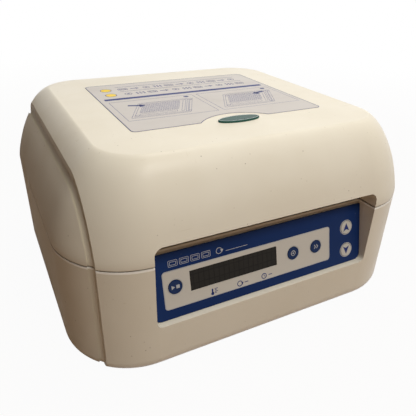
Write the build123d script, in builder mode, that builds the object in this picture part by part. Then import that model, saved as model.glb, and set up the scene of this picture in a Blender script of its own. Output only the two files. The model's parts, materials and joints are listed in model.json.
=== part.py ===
from build123d import *
from math import cos, radians, sin, tan
import os

os.makedirs("parts", exist_ok=True)

# A bench-top thermal mixer: a moulded base and a hinged lid close over a heated platform that
# carries four microplates and moves in a small horizontal circle.
# X runs to the right, Y to the back, Z up. The origin is on the bench under the housing's centre.
# All sizes are in millimetres.

# ---------------------------------------------------------------- housing
body_width = 300.0
body_depth = 277.0
foot_stand = 6.0          # bench to the underside of the base
base_height = 91.5
seam_gap = 1.0            # shadow gap between base and lid
lid_height = 66.1
corner_radius = 56.0      # plan radius of the base and of the lid's lower edge
top_corner_radius = 28.0  # plan radius of the lid's flat top
bottom_round = 11.0

# The lid's sides lean in towards its top: how far, and how late in the rise the turn comes.
side_reach, side_turn = 37.8, 1.45
front_reach, front_turn = 27.3, 1.54
back_reach, back_turn = 38.0, 2.2
lid_sections = 7

# A proud band runs over the middle of the housing, with a groove and a lower cheek at each side.
band_inset = 19.7         # proud band's edge, from the housing's side
groove_width = 3.7
cheek_step = 1.8
groove_depth = 2.9
shell_wall = 2.4          # left under the groove, the thinnest place
cavity_inset = groove_depth + shell_wall
band_half = body_width / 2 - band_inset
groove_outer = band_half + groove_width

fit_gap = 0.3             # between neighbours that don't touch
running_gap = 0.05        # radial, shaft in bearing

base_top = foot_stand + base_height
lid_bottom = base_top + seam_gap
lid_top = lid_bottom + lid_height
front_y = -body_depth / 2
back_y = body_depth / 2

floor_thickness = 3.0
deck_thickness = 3.0
deck_drop = 4.0           # base rim above its deck
floor_top = foot_stand + floor_thickness
deck_top = base_top - deck_drop
deck_bottom = deck_top - deck_thickness

# ---------------------------------------------------------------- panel recess
recess_side = 34.8        # recess wall, from the band's edge
recess_half = band_half - recess_side
ledge_drop = 52.2         # ledge under the panel, from the base's top edge
ledge_z = base_top - ledge_drop
ledge_depth = 4.5
panel_lean = 13.3         # degrees back from upright
notch_rise = 12.5         # finger notch, up into the lid
notch_top = lid_bottom + notch_rise
recess_low_radius = 5.0
recess_high_radius = 6.5
recess_wall = 2.6
mouth_before = 20.0        # the opening's form starts in front of the housing
mouth_length = 80.0
overlay_thickness = 1.5
panel_height = 50.8

# Panel features: x, and height up the leaning panel from its foot.
fascia_left = 9.0         # navy border at the left of the fascia
arrow_zone = 33.6         # navy field at its right, with the two arrow keys
fascia_size = (2 * recess_half - fascia_left - arrow_zone, 29.4)
fascia_centre = (fascia_left - recess_half + fascia_size[0] / 2, 22.8)
fascia_radius = 2.5
fascia_low_x = fascia_centre[0] - fascia_size[0] / 2
fascia_high_x = fascia_centre[0] + fascia_size[0] / 2
window_left = 20.8        # from the fascia's left edge
window_right = 53.2       # from its right edge
window_size = (fascia_size[0] - window_left - window_right, 15.7)
display_frame = (7.0, 8.0)  # the module's frame round its window, both sides together
window_centre = (fascia_low_x + window_left + window_size[0] / 2, 25.5)
key_diameter = 10.6
arrow_key_diameter = 11.0
start_stop_set = 9.1      # key centres from the fascia's ends
shift_set = 14.5
key_spacing = 22.8
arrow_set = 15.5          # arrow keys from the recess wall
key_places = {
    "start_stop_key": (fascia_low_x + start_stop_set, 24.5),
    "set_key": (fascia_high_x - shift_set - key_spacing, 23.5),
    "shift_key": (fascia_high_x - shift_set, 23.5),
}
arrow_key_places = {
    "up_key": (recess_half - arrow_set, 32.6),
    "down_key": (recess_half - arrow_set, 12.3),
}
key_proud = 0.35
key_cap = 1.05
key_travel = 0.5
key_stem = 6.0
stem_length = 7.3
board_thickness = 1.6
film_gap = 0.1            # between the printed films
window_drop = 0.3         # display window below the panel's face
switch_size = 6.0
switch_height = 3.0
boss_diameter = 7.0
boss_set = 7.5            # boss centres from the recess wall
boss_rows = (6.0, 42.0)   # their heights up the panel
boss_sunk = 0.5           # bosses rooted in the recess wall
keypad_margin = 4.0       # keypad board inside the recess wall
keypad_height = 44.0
keypad_middle = 24.0      # height of its middle up the panel

# ---------------------------------------------------------------- chamber and drive
chamber_y = -5.0          # the chamber sits a little forward, clear of the hinges
pan_side = 13.0           # tray wall from the housing's side
pan_end = 39.5            # and from its front and back, the two together halved
pan_width = body_width - 2 * pan_side
pan_depth = body_depth - 2 * pan_end
pan_corner = 2.0
pan_wall = 1.5
pan_rim = 6.0
rim_corner = 21.5         # rounder than the tray, to clear the housing's corners
pan_height = 22.5
pan_floor_top = deck_top - pan_height
orbit_radius = 1.5

# The nests come out at 128.40 by 86.12, for a standard microplate of 127.76 by 85.48.
platform_side = 4.6       # platform edge to tray wall
platform_end = 4.38
platform_corner = 12.0
nest_corner = 3.0
nest_fence = 2.5
nest_middle = 3.0
clamp_rib = 12.0
fence_height = 4.0
platform_lift = 6.0       # tray floor to the platform's underside
platform_bottom = pan_floor_top + platform_lift
platform_thickness = 9.0
boss_drop = 4.0
heater_thickness = 1.5

platform_width = pan_width - 2 * platform_side
platform_depth = pan_depth - 2 * platform_end
nest_length = (platform_width - nest_middle) / 2 - nest_fence
nest_width = (platform_depth - clamp_rib) / 2 - nest_fence
nest_floor = platform_bottom + platform_thickness
nest_x = (nest_length + nest_middle) / 2
nest_y = (nest_width + clamp_rib) / 2

clamp_length = 40.0
clamp_depth = 5.2
clamp_height = 7.5
clamp_reach = 1.2         # into the nest at rest
clamp_travel = 2.4
clamp_stagger = 26.0      # front clamps to the left, rear clamps to the right

mech_side = 12.0          # mechanism plate's edge inside the tray wall
mech_end = 24.0
mech_width = pan_width - 2 * mech_side
mech_depth = pan_depth - 2 * mech_end
mech_corner = 10.0
mech_thickness = 5.0
mech_drop = 9.0           # mechanism plate's top under the tray floor
mech_top = pan_floor_top - mech_drop
mech_bottom = mech_top - mech_thickness
post_diameter = 10.0
post_side = 10.0          # posts from the mechanism plate's edges
post_end = 11.0
post_x = mech_width / 2 - post_side
post_y = mech_depth / 2 - post_end
mech_slot = (30.0, 80.0)  # lightening openings beside the motor

motor_diameter = 60.0
motor_foot = 10.0         # floor to the motor's underside
motor_height = mech_bottom - floor_top - motor_foot
motor_shaft = 8.0
drive_hub = 24.0
drive_hub_bottom = mech_top + 1.5
drive_hub_height = 5.0
drive_pin = 12.0
counterweight_radius = 34.0
counterweight_thickness = 4.0
bearing_outer = 28.0
bearing_height = 8.0

idler_side = 20.0         # idlers inside the posts
idler_end = 14.0
idler_x = post_x - idler_side
idler_y = post_y - idler_end
idler_shaft = 6.0
idler_web = 14.0
idler_web_height = 3.6
idler_bush = 16.0
idler_flange = 22.0
idler_flange_height = 2.0
idler_bush_drop = 6.0

motor_pilot = 26.0
motor_pilot_short = 1.0    # pilot ends under the plate's top
motor_edge = 3.0
motor_screw_angles = (45, 135, 225, 315)
motor_end = 1.5           # end wall under the shaft
motor_screw_circle = 22.0
screw_reach = 12.0
counterweight_collar = 3.0
pin_clearance = 1.5       # round a pin that circles in a tray opening
bearing_wall = 4.0
heater_margin = 6.0
heater_corner = 4.0
finger_opening = 40.0
finger_sill = 1.0         # left of the fence in the finger openings
clamp_lead = 1.0

# ---------------------------------------------------------------- lid interior
liner_inset = 9.0
liner_wall = 2.0
liner_top_drop = 13.0
liner_front_set = 25.5    # from the housing's front
liner_back_set = 14.5
liner_front = front_y + liner_front_set
liner_back = back_y - liner_back_set
liner_flange = 1.6
liner_rim_rise = 1.5      # above the lid's lower edge
liner_rim_z = lid_bottom + liner_rim_rise
gasket_width = 3.5
rim_ledge = 1.0           # liner flange behind the tray's inner edge
seal_corner = 14.0        # gasket's inner corner radius
lid_heater_side = 53.0    # heater's edge from the housing's side
lid_heater_end = 68.5
lid_heater_thickness = 3.0
lid_heater_corner = 8.0
insulation_side = 50.0
insulation_end = 50.5
insulation_corner = 16.0
sensor_set = 30.5         # from the housing's back
sensor_place = (0.0, back_y - sensor_set)
sensor_size = (12.0, 6.0)
magnet_diameter = 6.0
sensor_height = 2.0

# ---------------------------------------------------------------- hinges
hinge_side = 78.0         # hinge from the housing's side
lid_ease_depth = 1.4       # slanted cut at the lid's lower back edge
lid_ease_height = 2.4
lid_ease_past = 1.0        # the cut starts outside the edge
hinge_x = body_width / 2 - hinge_side
hinge_inset = 3.6         # pin to the housing's back face
hinge_rise = 7.0          # pin above the seam's middle
knuckle_diameter = 6.6
hinge_pin = 3.0
middle_knuckle = 16.0
outer_knuckle = 8.0
knuckle_gap = 0.4
leaf_thickness = 1.8
hinge_foot_set = 9.5      # leaf screws in front of the pin
hinge_foot_length = 15.0
hinge_screw_step = 4.2
lid_leaf_set = 3.6        # lid leaf's face in front of the pin
lid_leaf_height = 10.0
hinge_y = back_y - hinge_inset
hinge_z = base_top + seam_gap / 2 + hinge_rise
knuckle_span = middle_knuckle + 2 * (outer_knuckle + knuckle_gap)

# ---------------------------------------------------------------- bottom, back and electrics
plate_thickness = 2.0
bottom_plate_inset = 15.0
bottom_opening_inset = 23.0
bottom_screw_inset = 19.0
bottom_screw_set = 72.5   # side screws from the front and back
bottom_screw_y = body_depth / 2 - bottom_screw_set
foot_side = 44.0          # feet from the housing's side and from its front and back
foot_end = 44.5
foot_x = body_width / 2 - foot_side
foot_y = body_depth / 2 - foot_end
vent_size = (44.0, 4.0)   # cooling slots in the bottom plate
vent_pitch = 14.0
vent_rows = 5
vent_inset = 21.0          # a row's middle from the supply's and the board's middle
foot_diameter = 20.0
foot_stud = 6.0
screw_head = 5.6
screw_head_height = 1.8
screw_shank = 3.0
screw_clearance = 0.1     # radial, in its hole

rear_window_side = 62.0   # window and louvres, from the housing's left side and middle
rear_window_right = 8.0   # its right edge, from the middle
rear_window = (body_width / 2 - rear_window_side + rear_window_right, 34.0)
rear_window_x = rear_window_right - rear_window[0] / 2
rear_window_drop = 55.5   # its middle, under the base's top edge
rear_window_z = base_top - rear_window_drop
louvre_x = 52.0           # middle of the cooling louvres
louvre_count = 9
louvre_pitch = 7.0
louvre_width = 3.0
rear_panel_margin = 5.0
rear_panel_thickness = 1.5

flange_thickness = 2.0
inlet_flange = (31.0, 27.0)
inlet_corner = 3.0
inlet_body = (27.4, 20.0)
inlet_socket = (24.4, 16.4)
inlet_length = 18.0
inlet_pin = (2.0, 4.0)
inlet_pin_places = ((-7, -2), (0, 2), (7, -2))
socket_depth = 14.0
rocker_flange = (21.0, 28.0)
rocker_body = (18.0, 25.0)
rocker_width = 13.0
rocker_radius = 10.3
rocker_sink = 1.5         # pivot behind the panel's face
rocker_face = 3.6         # pivot to the middle line of the rocker's face
rocker_tilt = 7.0
rocker_length = 16.0
rocker_floor = 2.0         # behind the rocker's well
rocker_corner = 1.5
rocker_well_corner = 0.5
fuse_cap, fuse_body, fuse_length = 15.0, 12.0, 22.0
fuse_slot = (1.4, 8.0, 1.0)
supply_side = 44.0        # from the housing's side
supply_x = body_width / 2 - supply_side
supply_size = (44.0, 90.0, 32.0)
supply_bevel = 3.0
supply_slots = 7
supply_slot_pitch = 9.0
supply_slot_width = 4.0
supply_slot_depth = 2.0
supply_slot_end = 8.0      # from the supply's side
board_end = 84.5          # from the housing's front and back
board_size = (46.0, body_depth - 2 * board_end)
board_edge = 4.0          # standoffs from the board's edges
standoff_diameter = 6.0
sink_size = (30.0, 30.0, 9.0)
sink_fin = 2.0
sink_fin_height = 18.0
sink_pitch = 5.0
sink_fins = 6
sink_end = 5.0             # from the board's end
terminal_set = 10.0        # terminals from the place opposite the sink
relay_size = (14.0, 18.0)
terminal_size = (34.0, 10.0)
board_stand = 6.0

# Text-free label on the lid's top, and an oval badge in the arch of its front edge.
label_side = 66.2         # from the housing's side, front and back
label_front_set = 68.1
label_back_set = 69.3
label_width = body_width - 2 * label_side
label_front = front_y + label_front_set
label_back = back_y - label_back_set
label_thickness = 0.25
label_corner = 4.0
label_arch_half = 30.0
label_arch_depth = 14.0
label_cut_past = 1.0       # the arch is cut past the label's edge
badge_set = 2.6           # badge's middle in front of the label
badge_centre = (1.0, label_front - badge_set)
badge_size = (36.0, 13.0)
badge_height = 1.5
badge_bevel = 0.5


bottom_screw_places = [
    (x * (body_width / 2 - bottom_screw_inset), y * bottom_screw_y) for x in (-1, 1) for y in (-1, 1)
] + [(0, y * (body_depth / 2 - bottom_screw_inset)) for y in (-1, 1)]
hinge_foot_y = hinge_y - hinge_foot_set
hinge_screw_places = [
    (side * hinge_x + step * hinge_screw_step, hinge_foot_y) for side in (-1, 1) for step in (-1, 1)
]
corner_signs = [("front_left", -1, -1), ("front_right", 1, -1), ("rear_left", -1, 1), ("rear_right", 1, 1)]


def write(part, name):
    """Labels a finished piece and writes it to its own file."""
    part.label = name
    export_step(part, f"parts/{name}.step")


# ================================================================ housing forms
def shoulder(rise, turn):
    """Share of the lean-in reached at a share of the rise: slow at first, then over to the top."""
    return 1 - (1 - rise**turn) ** (1 / turn)


def lid_form(inset, top_drop):
    """The lid's outer form moved in by inset all round, with its top lowered by top_drop."""
    low = lid_bottom
    height = lid_height - top_drop
    with BuildPart() as form:
        for section in range(lid_sections + 1):
            rise = sin(radians(90 * section / lid_sections))
            side = side_reach * shoulder(rise, side_turn) + inset - cheek_step
            front = front_reach * shoulder(rise, front_turn) + inset
            back = back_reach * shoulder(rise, back_turn) + inset
            radius = corner_radius - (corner_radius - top_corner_radius) * shoulder(rise, side_turn)
            centre_y = (front - back) / 2
            with BuildSketch(Plane((0, centre_y, low + rise * height))):
                RectangleRounded(
                    body_width - 2 * side, body_depth - front - back, radius + cheek_step - inset
                )
        loft()
    return form.part


def base_form(inset, low, high, round_bottom):
    """The base's upright form moved in by inset, between two heights, its lower edge rounded."""
    with BuildPart() as form:
        with BuildSketch(Plane.XY.offset(low)):
            RectangleRounded(
                body_width + 2 * cheek_step - 2 * inset,
                body_depth - 2 * inset,
                corner_radius + cheek_step - inset,
            )
        extrude(amount=high - low)
        if round_bottom > 0:
            fillet(form.faces().sort_by(Axis.Z)[0].edges(), round_bottom)
    return form.part


def middle_of(form, half_width):
    """The part of a form that lies within half_width of the housing's middle plane."""
    with BuildPart() as slab:
        add(form)
        with Locations((0, 0, lid_top / 2)):
            Box(2 * half_width, 2 * body_depth, 2 * lid_top, mode=Mode.INTERSECT)
    return slab.part


def outside_of(form, half_width):
    """The two parts of a form that lie further than half_width from the middle plane."""
    with BuildPart() as cheeks:
        add(form)
        with Locations((0, 0, lid_top / 2)):
            Box(2 * half_width, 2 * body_depth, 2 * lid_top, mode=Mode.SUBTRACT)
    return cheeks.part


def banded(band, groove, cheek):
    """Joins the proud middle band, the groove floors beside it and the cheeks outside them."""
    with BuildPart() as skin:
        add(middle_of(band, band_half))
        add(middle_of(groove, groove_outer))
        add(outside_of(cheek, groove_outer))
    return skin.part


panel_plane = Plane(
    origin=(0, front_y + ledge_depth, ledge_z),
    x_dir=(1, 0, 0),
    z_dir=(0, -cos(radians(panel_lean)), sin(radians(panel_lean))),
)


def recess_form(grow):
    """The panel recess and finger notch: a round-cornered opening as deep as the leaning panel.

    With grow it is the same opening with a wall of that thickness round it.
    """
    with BuildPart() as hollow:
        with BuildSketch(Plane.XZ.offset(-front_y + mouth_before)) as mouth:
            with Locations((0, (ledge_z + notch_top) / 2)):
                Rectangle(2 * (recess_half + grow), notch_top - ledge_z + 2 * grow)
            fillet(mouth.vertices().group_by(Axis.Y)[0], recess_low_radius + grow)
            fillet(mouth.vertices().group_by(Axis.Y)[-1], recess_high_radius + grow)
        extrude(amount=-mouth_length)
        split(bisect_by=panel_plane.offset(-overlay_thickness - grow), keep=Keep.TOP)
    return hollow.part


def panel_at(depth):
    """A plane parallel to the panel's face, that far behind it."""
    return panel_plane.offset(-depth)


recess = recess_form(0)
recess_walled = recess_form(recess_wall)
all_keys = {**key_places, **arrow_key_places}
wall_inside = overlay_thickness + recess_wall

# ================================================================ base shell
base_skin = banded(
    base_form(0, foot_stand, base_top, bottom_round),
    base_form(groove_depth, foot_stand, base_top, bottom_round),
    base_form(cheek_step, foot_stand, base_top, bottom_round),
)
base_cavity = base_form(cavity_inset, floor_top, base_top + 1, bottom_round - floor_thickness)

boss_places = [(x * (recess_half - boss_set), row) for x in (-1, 1) for row in boss_rows]
switch_top = stem_length + key_cap - key_proud + key_travel + fit_gap
board_face = switch_top + switch_height
tray_cut = (pan_width + 2 * (pan_wall + fit_gap), pan_depth + 2 * (pan_wall + fit_gap))

with BuildPart() as base_hollow:
    add(base_cavity)
    add(recess_walled, mode=Mode.SUBTRACT)

with BuildPart() as base_shell:
    add(base_skin)
    add(base_hollow.part, mode=Mode.SUBTRACT)
    add(recess, mode=Mode.SUBTRACT)
    # Bosses that carry the keypad board behind the panel.
    with BuildSketch(panel_at(wall_inside - boss_sunk)):
        with Locations(*boss_places):
            Circle(boss_diameter / 2)
    extrude(amount=-(board_face - wall_inside + boss_sunk))
    # Opening that the bottom plate closes.
    with BuildSketch(Plane.XY.offset(foot_stand)):
        RectangleRounded(
            body_width - 2 * bottom_opening_inset,
            body_depth - 2 * bottom_opening_inset,
            corner_radius - bottom_opening_inset,
        )
    extrude(amount=floor_thickness, mode=Mode.SUBTRACT)
    # Display window and key stem holes through the recess wall.
    with BuildSketch(panel_at(overlay_thickness)):
        with Locations(window_centre):
            Rectangle(window_size[0] + 2 * fit_gap, window_size[1] + 2 * fit_gap)
        with Locations(*all_keys.values()):
            Circle(key_stem / 2 + fit_gap)
    extrude(amount=-recess_wall, mode=Mode.SUBTRACT)
    # Counterbored holes for the bottom plate's screws.
    with BuildSketch(Plane.XY.offset(foot_stand)):
        with Locations(*bottom_screw_places):
            Circle(screw_head / 2 + fit_gap)
    extrude(amount=screw_head_height, mode=Mode.SUBTRACT)
    with BuildSketch(Plane.XY.offset(foot_stand)):
        with Locations(*bottom_screw_places):
            Circle(screw_shank / 2 + screw_clearance)
    extrude(amount=floor_thickness, mode=Mode.SUBTRACT)
    # Window for the recessed connector panel, and the cooling louvres beside it.
    with BuildSketch(Plane.XZ.offset(-back_y)):
        with Locations((rear_window_x, rear_window_z)):
            RectangleRounded(*rear_window, 2)
        with Locations((louvre_x, rear_window_z)):
            with GridLocations(louvre_pitch, 0, louvre_count, 1):
                Rectangle(louvre_width, rear_window[1])
    extrude(amount=cavity_inset, mode=Mode.SUBTRACT)
write(base_shell.part, "base_shell")

# The deck closes the base round the chamber tray and carries the hinges.
with BuildPart() as base_deck:
    add(base_form(cavity_inset, deck_bottom, deck_top, 0))
    add(recess_walled, mode=Mode.SUBTRACT)
    with BuildSketch(Plane((0, chamber_y, deck_bottom))):
        RectangleRounded(*tray_cut, pan_corner + pan_wall + fit_gap)
    extrude(amount=deck_thickness, mode=Mode.SUBTRACT)
    with BuildSketch(Plane.XY.offset(deck_bottom)):
        with Locations(*hinge_screw_places):
            Circle(screw_shank / 2 + screw_clearance)
    extrude(amount=deck_thickness, mode=Mode.SUBTRACT)
write(base_deck.part, "base_deck")

# ================================================================ lid shell
lid_skin = banded(
    lid_form(0, 0),
    lid_form(groove_depth, groove_depth),
    lid_form(cheek_step, cheek_step),
)
with BuildPart() as lid_hollow:
    add(lid_form(cavity_inset, cavity_inset))
    add(recess_walled, mode=Mode.SUBTRACT)

with BuildPart() as lid_shell:
    add(lid_skin)
    add(lid_hollow.part, mode=Mode.SUBTRACT)
    add(recess, mode=Mode.SUBTRACT)
    # Notches in the back wall for the two hinges.
    for side in (-1, 1):
        with Locations((side * hinge_x, back_y, lid_bottom)):
            Box(
                knuckle_span + 2 * fit_gap,
                2 * (cavity_inset + 2),
                2 * (hinge_z - lid_bottom + knuckle_diameter / 2 + fit_gap),
                mode=Mode.SUBTRACT,
            )
    # The lower back edge is eased so that it clears the base as the lid swings.
    with BuildSketch(Plane.YZ):
        with BuildLine():
            Polyline(
                (back_y - lid_ease_depth, lid_bottom - lid_ease_past),
                (back_y + lid_ease_past, lid_bottom - lid_ease_past),
                (back_y + lid_ease_past, lid_bottom + lid_ease_height),
                close=True,
            )
        make_face()
    extrude(amount=body_width / 2, both=True, mode=Mode.SUBTRACT)
write(lid_shell.part, "lid_shell")


def screws(places, seat_z, length, head=screw_head, head_height=screw_head_height):
    """A set of pan-head screws whose heads stand on seat_z and whose shanks reach down from it."""
    with BuildPart() as group:
        with BuildSketch(Plane.XY.offset(seat_z)):
            with Locations(*places):
                Circle(head / 2)
        extrude(amount=head_height)
        with BuildSketch(Plane.XY.offset(seat_z)):
            with Locations(*places):
                Circle(screw_shank / 2)
        extrude(amount=-length)
    return group.part


def panel_slab(depth, thickness, outline, centre, radius=0.0):
    """A plate parallel to the panel: its front face at depth, its outline centred on the panel."""
    with BuildPart() as slab:
        with BuildSketch(panel_at(depth)):
            with Locations(centre):
                if radius > 0:
                    RectangleRounded(*outline, radius)
                else:
                    Rectangle(*outline)
        extrude(amount=-thickness)
    return slab.part


# ================================================================ control panel
# The leaning overlay's back edge reaches lowest, and clears the ledge there.
overlay_foot = overlay_thickness * tan(radians(panel_lean)) + fit_gap
with BuildPart() as panel_overlay:
    with BuildSketch(panel_at(overlay_thickness)) as film:
        with Locations((0, (overlay_foot + panel_height) / 2)):
            Rectangle(2 * (recess_half - fit_gap), panel_height - overlay_foot)
        fillet(film.vertices().group_by(Axis.Y)[0], recess_low_radius + fit_gap)
        with Locations(fascia_centre):
            RectangleRounded(
                fascia_size[0] + 2 * film_gap,
                fascia_size[1] + 2 * film_gap,
                fascia_radius + film_gap,
                mode=Mode.SUBTRACT,
            )
        with Locations(*arrow_key_places.values()):
            Circle(arrow_key_diameter / 2 + fit_gap, mode=Mode.SUBTRACT)
    extrude(amount=overlay_thickness)
write(panel_overlay.part, "panel_overlay")

with BuildPart() as panel_fascia:
    with BuildSketch(panel_at(overlay_thickness)):
        with Locations(fascia_centre):
            RectangleRounded(*fascia_size, fascia_radius)
        with Locations(window_centre):
            Rectangle(
                window_size[0] + 2 * film_gap, window_size[1] + 2 * film_gap, mode=Mode.SUBTRACT
            )
        with Locations(*key_places.values()):
            Circle(key_diameter / 2 + fit_gap, mode=Mode.SUBTRACT)
    extrude(amount=overlay_thickness)
write(panel_fascia.part, "panel_fascia")

write(
    panel_slab(window_drop, overlay_thickness - window_drop, window_size, window_centre),
    "display_window",
)
display_size = (window_size[0] + display_frame[0], window_size[1] + display_frame[1])
write(
    panel_slab(
        wall_inside + fit_gap, board_face - wall_inside - 2 * fit_gap, display_size, window_centre
    ),
    "display_module",
)


def key(place, diameter):
    """A panel key: a round cap a little proud of the panel on a stem through the recess wall."""
    with BuildPart() as button:
        with BuildSketch(panel_at(key_cap - key_proud)):
            with Locations(place):
                Circle(diameter / 2)
        extrude(amount=key_cap)
        with BuildSketch(panel_at(key_cap - key_proud)):
            with Locations(place):
                Circle(key_stem / 2)
        extrude(amount=-stem_length)
    return button.part


for name, place in key_places.items():
    write(key(place, key_diameter), name)
for name, place in arrow_key_places.items():
    write(key(place, arrow_key_diameter), name)

write(
    panel_slab(
        board_face,
        board_thickness,
        (2 * (recess_half - keypad_margin), keypad_height),
        (0, keypad_middle),
        2,
    ),
    "keypad_board",
)
with BuildPart() as key_switches:
    with BuildSketch(panel_at(board_face)):
        with Locations(*all_keys.values()):
            Rectangle(switch_size, switch_size)
    extrude(amount=switch_height)
write(key_switches.part, "key_switches")

# ================================================================ bottom plate and feet
foot_places = [(x * foot_x, y * foot_y) for _, x, y in corner_signs]
with BuildPart() as bottom_plate:
    with BuildSketch(Plane.XY.offset(floor_top)):
        RectangleRounded(
            body_width - 2 * bottom_plate_inset,
            body_depth - 2 * bottom_plate_inset,
            corner_radius - bottom_plate_inset,
        )
        with Locations(*foot_places):
            Circle(foot_stud / 2 + screw_clearance, mode=Mode.SUBTRACT)
        with Locations(*bottom_screw_places):
            Circle(screw_shank / 2 + screw_clearance, mode=Mode.SUBTRACT)
        # Cooling slots under the power supply and the control board.
        with GridLocations(2 * (supply_x - vent_inset), vent_pitch, 2, vent_rows):
            SlotOverall(*vent_size, mode=Mode.SUBTRACT)
    extrude(amount=plate_thickness)
write(bottom_plate.part, "bottom_plate")

with BuildPart() as rubber_feet:
    for place in foot_places:
        with BuildSketch(Plane.XY):
            with Locations(place):
                Circle(foot_diameter / 2)
        extrude(amount=floor_top, taper=4)
        with BuildSketch(Plane.XY.offset(floor_top)):
            with Locations(place):
                Circle(foot_stud / 2)
        extrude(amount=plate_thickness + 1)
write(rubber_feet.part, "rubber_feet")

with BuildPart() as bottom_screws:
    with BuildSketch(Plane.XY.offset(foot_stand)):
        with Locations(*bottom_screw_places):
            Circle(screw_head / 2)
    extrude(amount=screw_head_height)
    with BuildSketch(Plane.XY.offset(foot_stand + screw_head_height)):
        with Locations(*bottom_screw_places):
            Circle(screw_shank / 2)
    extrude(amount=floor_top + plate_thickness + 1 - foot_stand - screw_head_height)
write(bottom_screws.part, "bottom_screws")

# ================================================================ chamber tray
tray_bottom = pan_floor_top - pan_wall
idler_places = [(x * idler_x, chamber_y + y * idler_y) for _, x, y in corner_signs]
with BuildPart() as chamber_tray:
    with BuildSketch(Plane((0, chamber_y, pan_floor_top))):
        RectangleRounded(pan_width + 2 * pan_wall, pan_depth + 2 * pan_wall, pan_corner + pan_wall)
    extrude(amount=pan_height)
    with BuildSketch(Plane((0, chamber_y, deck_top))):
        RectangleRounded(
            pan_width + 2 * (pan_wall + pan_rim),
            pan_depth + 2 * (pan_wall + pan_rim),
            rim_corner,
        )
    extrude(amount=pan_wall)
    with BuildSketch(Plane((0, chamber_y, pan_floor_top))):
        RectangleRounded(pan_width, pan_depth, pan_corner)
    extrude(amount=pan_height + pan_wall, mode=Mode.SUBTRACT)
write(chamber_tray.part, "chamber_tray")

# The floor is spot-welded under the walls; the drive pin and the idler pins circle in its openings.
with BuildPart() as chamber_floor:
    with BuildSketch(Plane((0, chamber_y, tray_bottom))):
        RectangleRounded(pan_width + 2 * pan_wall, pan_depth + 2 * pan_wall, pan_corner + pan_wall)
        Circle(drive_pin / 2 + orbit_radius + pin_clearance, mode=Mode.SUBTRACT)
        with GridLocations(2 * idler_x, 2 * idler_y, 2, 2):
            Circle(idler_shaft / 2 + orbit_radius + pin_clearance, mode=Mode.SUBTRACT)
    extrude(amount=pan_wall)
write(chamber_floor.part, "chamber_floor")

# ================================================================ drive
post_places = [(x * post_x, chamber_y + y * post_y) for _, x, y in corner_signs]
motor_screw_places = [
    (motor_screw_circle * cos(radians(a)), chamber_y + motor_screw_circle * sin(radians(a)))
    for a in motor_screw_angles
]
plate_under = floor_top + plate_thickness
with BuildPart() as mechanism_plate:
    with BuildSketch(Plane((0, chamber_y, mech_bottom))):
        RectangleRounded(mech_width, mech_depth, mech_corner)
        Circle(motor_pilot / 2 + fit_gap, mode=Mode.SUBTRACT)
        with GridLocations(2 * idler_x, 2 * idler_y, 2, 2):
            Circle(idler_bush / 2 + running_gap, mode=Mode.SUBTRACT)
        # Lightening openings between the motor and the idlers.
        with GridLocations(idler_x + motor_diameter / 2, 0, 2, 1):
            SlotOverall(mech_slot[1], mech_slot[0], rotation=90, mode=Mode.SUBTRACT)
    extrude(amount=mech_thickness)
    with BuildSketch(Plane.XY.offset(mech_bottom)):
        with Locations(*post_places, *motor_screw_places):
            Circle(screw_shank / 2 + screw_clearance)
    extrude(amount=mech_thickness, mode=Mode.SUBTRACT)
    with BuildSketch(Plane.XY.offset(mech_top)):
        with Locations(*post_places, *motor_screw_places):
            Circle(screw_head / 2 + fit_gap)
    extrude(amount=-screw_head_height, mode=Mode.SUBTRACT)
write(mechanism_plate.part, "mechanism_plate")
write(
    screws(post_places + motor_screw_places, mech_top - screw_head_height, screw_reach),
    "mechanism_screws",
)

with BuildPart() as mechanism_posts:
    with BuildSketch(Plane.XY.offset(plate_under)):
        with Locations(*post_places):
            Circle(post_diameter / 2)
    extrude(amount=mech_bottom - plate_under)
    with BuildSketch(Plane.XY.offset(mech_bottom)):
        with Locations(*post_places):
            Circle(screw_shank / 2 + screw_clearance)
    extrude(amount=-screw_reach, mode=Mode.SUBTRACT)
write(mechanism_posts.part, "mechanism_posts")

motor_bottom = mech_bottom - motor_height
with BuildPart() as drive_motor:
    with BuildSketch(Plane((0, chamber_y, motor_bottom))):
        Circle(motor_diameter / 2)
    extrude(amount=motor_height)
    fillet(drive_motor.edges().sort_by(Axis.Z)[0], motor_edge)
    with BuildSketch(Plane((0, chamber_y, mech_bottom))):
        Circle(motor_pilot / 2)
    extrude(amount=mech_thickness - motor_pilot_short)
    with BuildSketch(Plane((0, chamber_y, motor_bottom + motor_end))):
        Circle(motor_shaft / 2 + running_gap)
    extrude(amount=motor_height + mech_thickness, mode=Mode.SUBTRACT)
    with BuildSketch(Plane.XY.offset(mech_bottom)):
        with Locations(*motor_screw_places):
            Circle(screw_shank / 2 + screw_clearance)
    extrude(amount=-screw_reach, mode=Mode.SUBTRACT)
write(drive_motor.part, "drive_motor")

hub_top = drive_hub_bottom + drive_hub_height
drive_pin_top = platform_bottom - boss_drop + bearing_height - fit_gap
with BuildPart() as drive_crank:
    with BuildSketch(Plane((0, chamber_y, motor_bottom + motor_end + fit_gap))):
        Circle(motor_shaft / 2)
    extrude(amount=drive_hub_bottom - motor_bottom - motor_end - fit_gap)
    with BuildSketch(Plane((0, chamber_y, drive_hub_bottom))):
        Circle(drive_hub / 2)
    extrude(amount=drive_hub_height)
    with BuildSketch(Plane((orbit_radius, chamber_y, hub_top))):
        Circle(drive_pin / 2)
    extrude(amount=drive_pin_top - hub_top)
write(drive_crank.part, "drive_crank")

with BuildPart() as counterweight:
    with BuildSketch(Plane((0, chamber_y, drive_hub_bottom))):
        Circle(counterweight_radius)
        with Locations((counterweight_radius, 0)):
            Rectangle(
                2 * counterweight_radius, 2 * counterweight_radius, mode=Mode.SUBTRACT
            )
        Circle(drive_hub / 2 + counterweight_collar)
        Circle(drive_hub / 2 + running_gap, mode=Mode.SUBTRACT)
    extrude(amount=counterweight_thickness)
write(counterweight.part, "counterweight")

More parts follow.
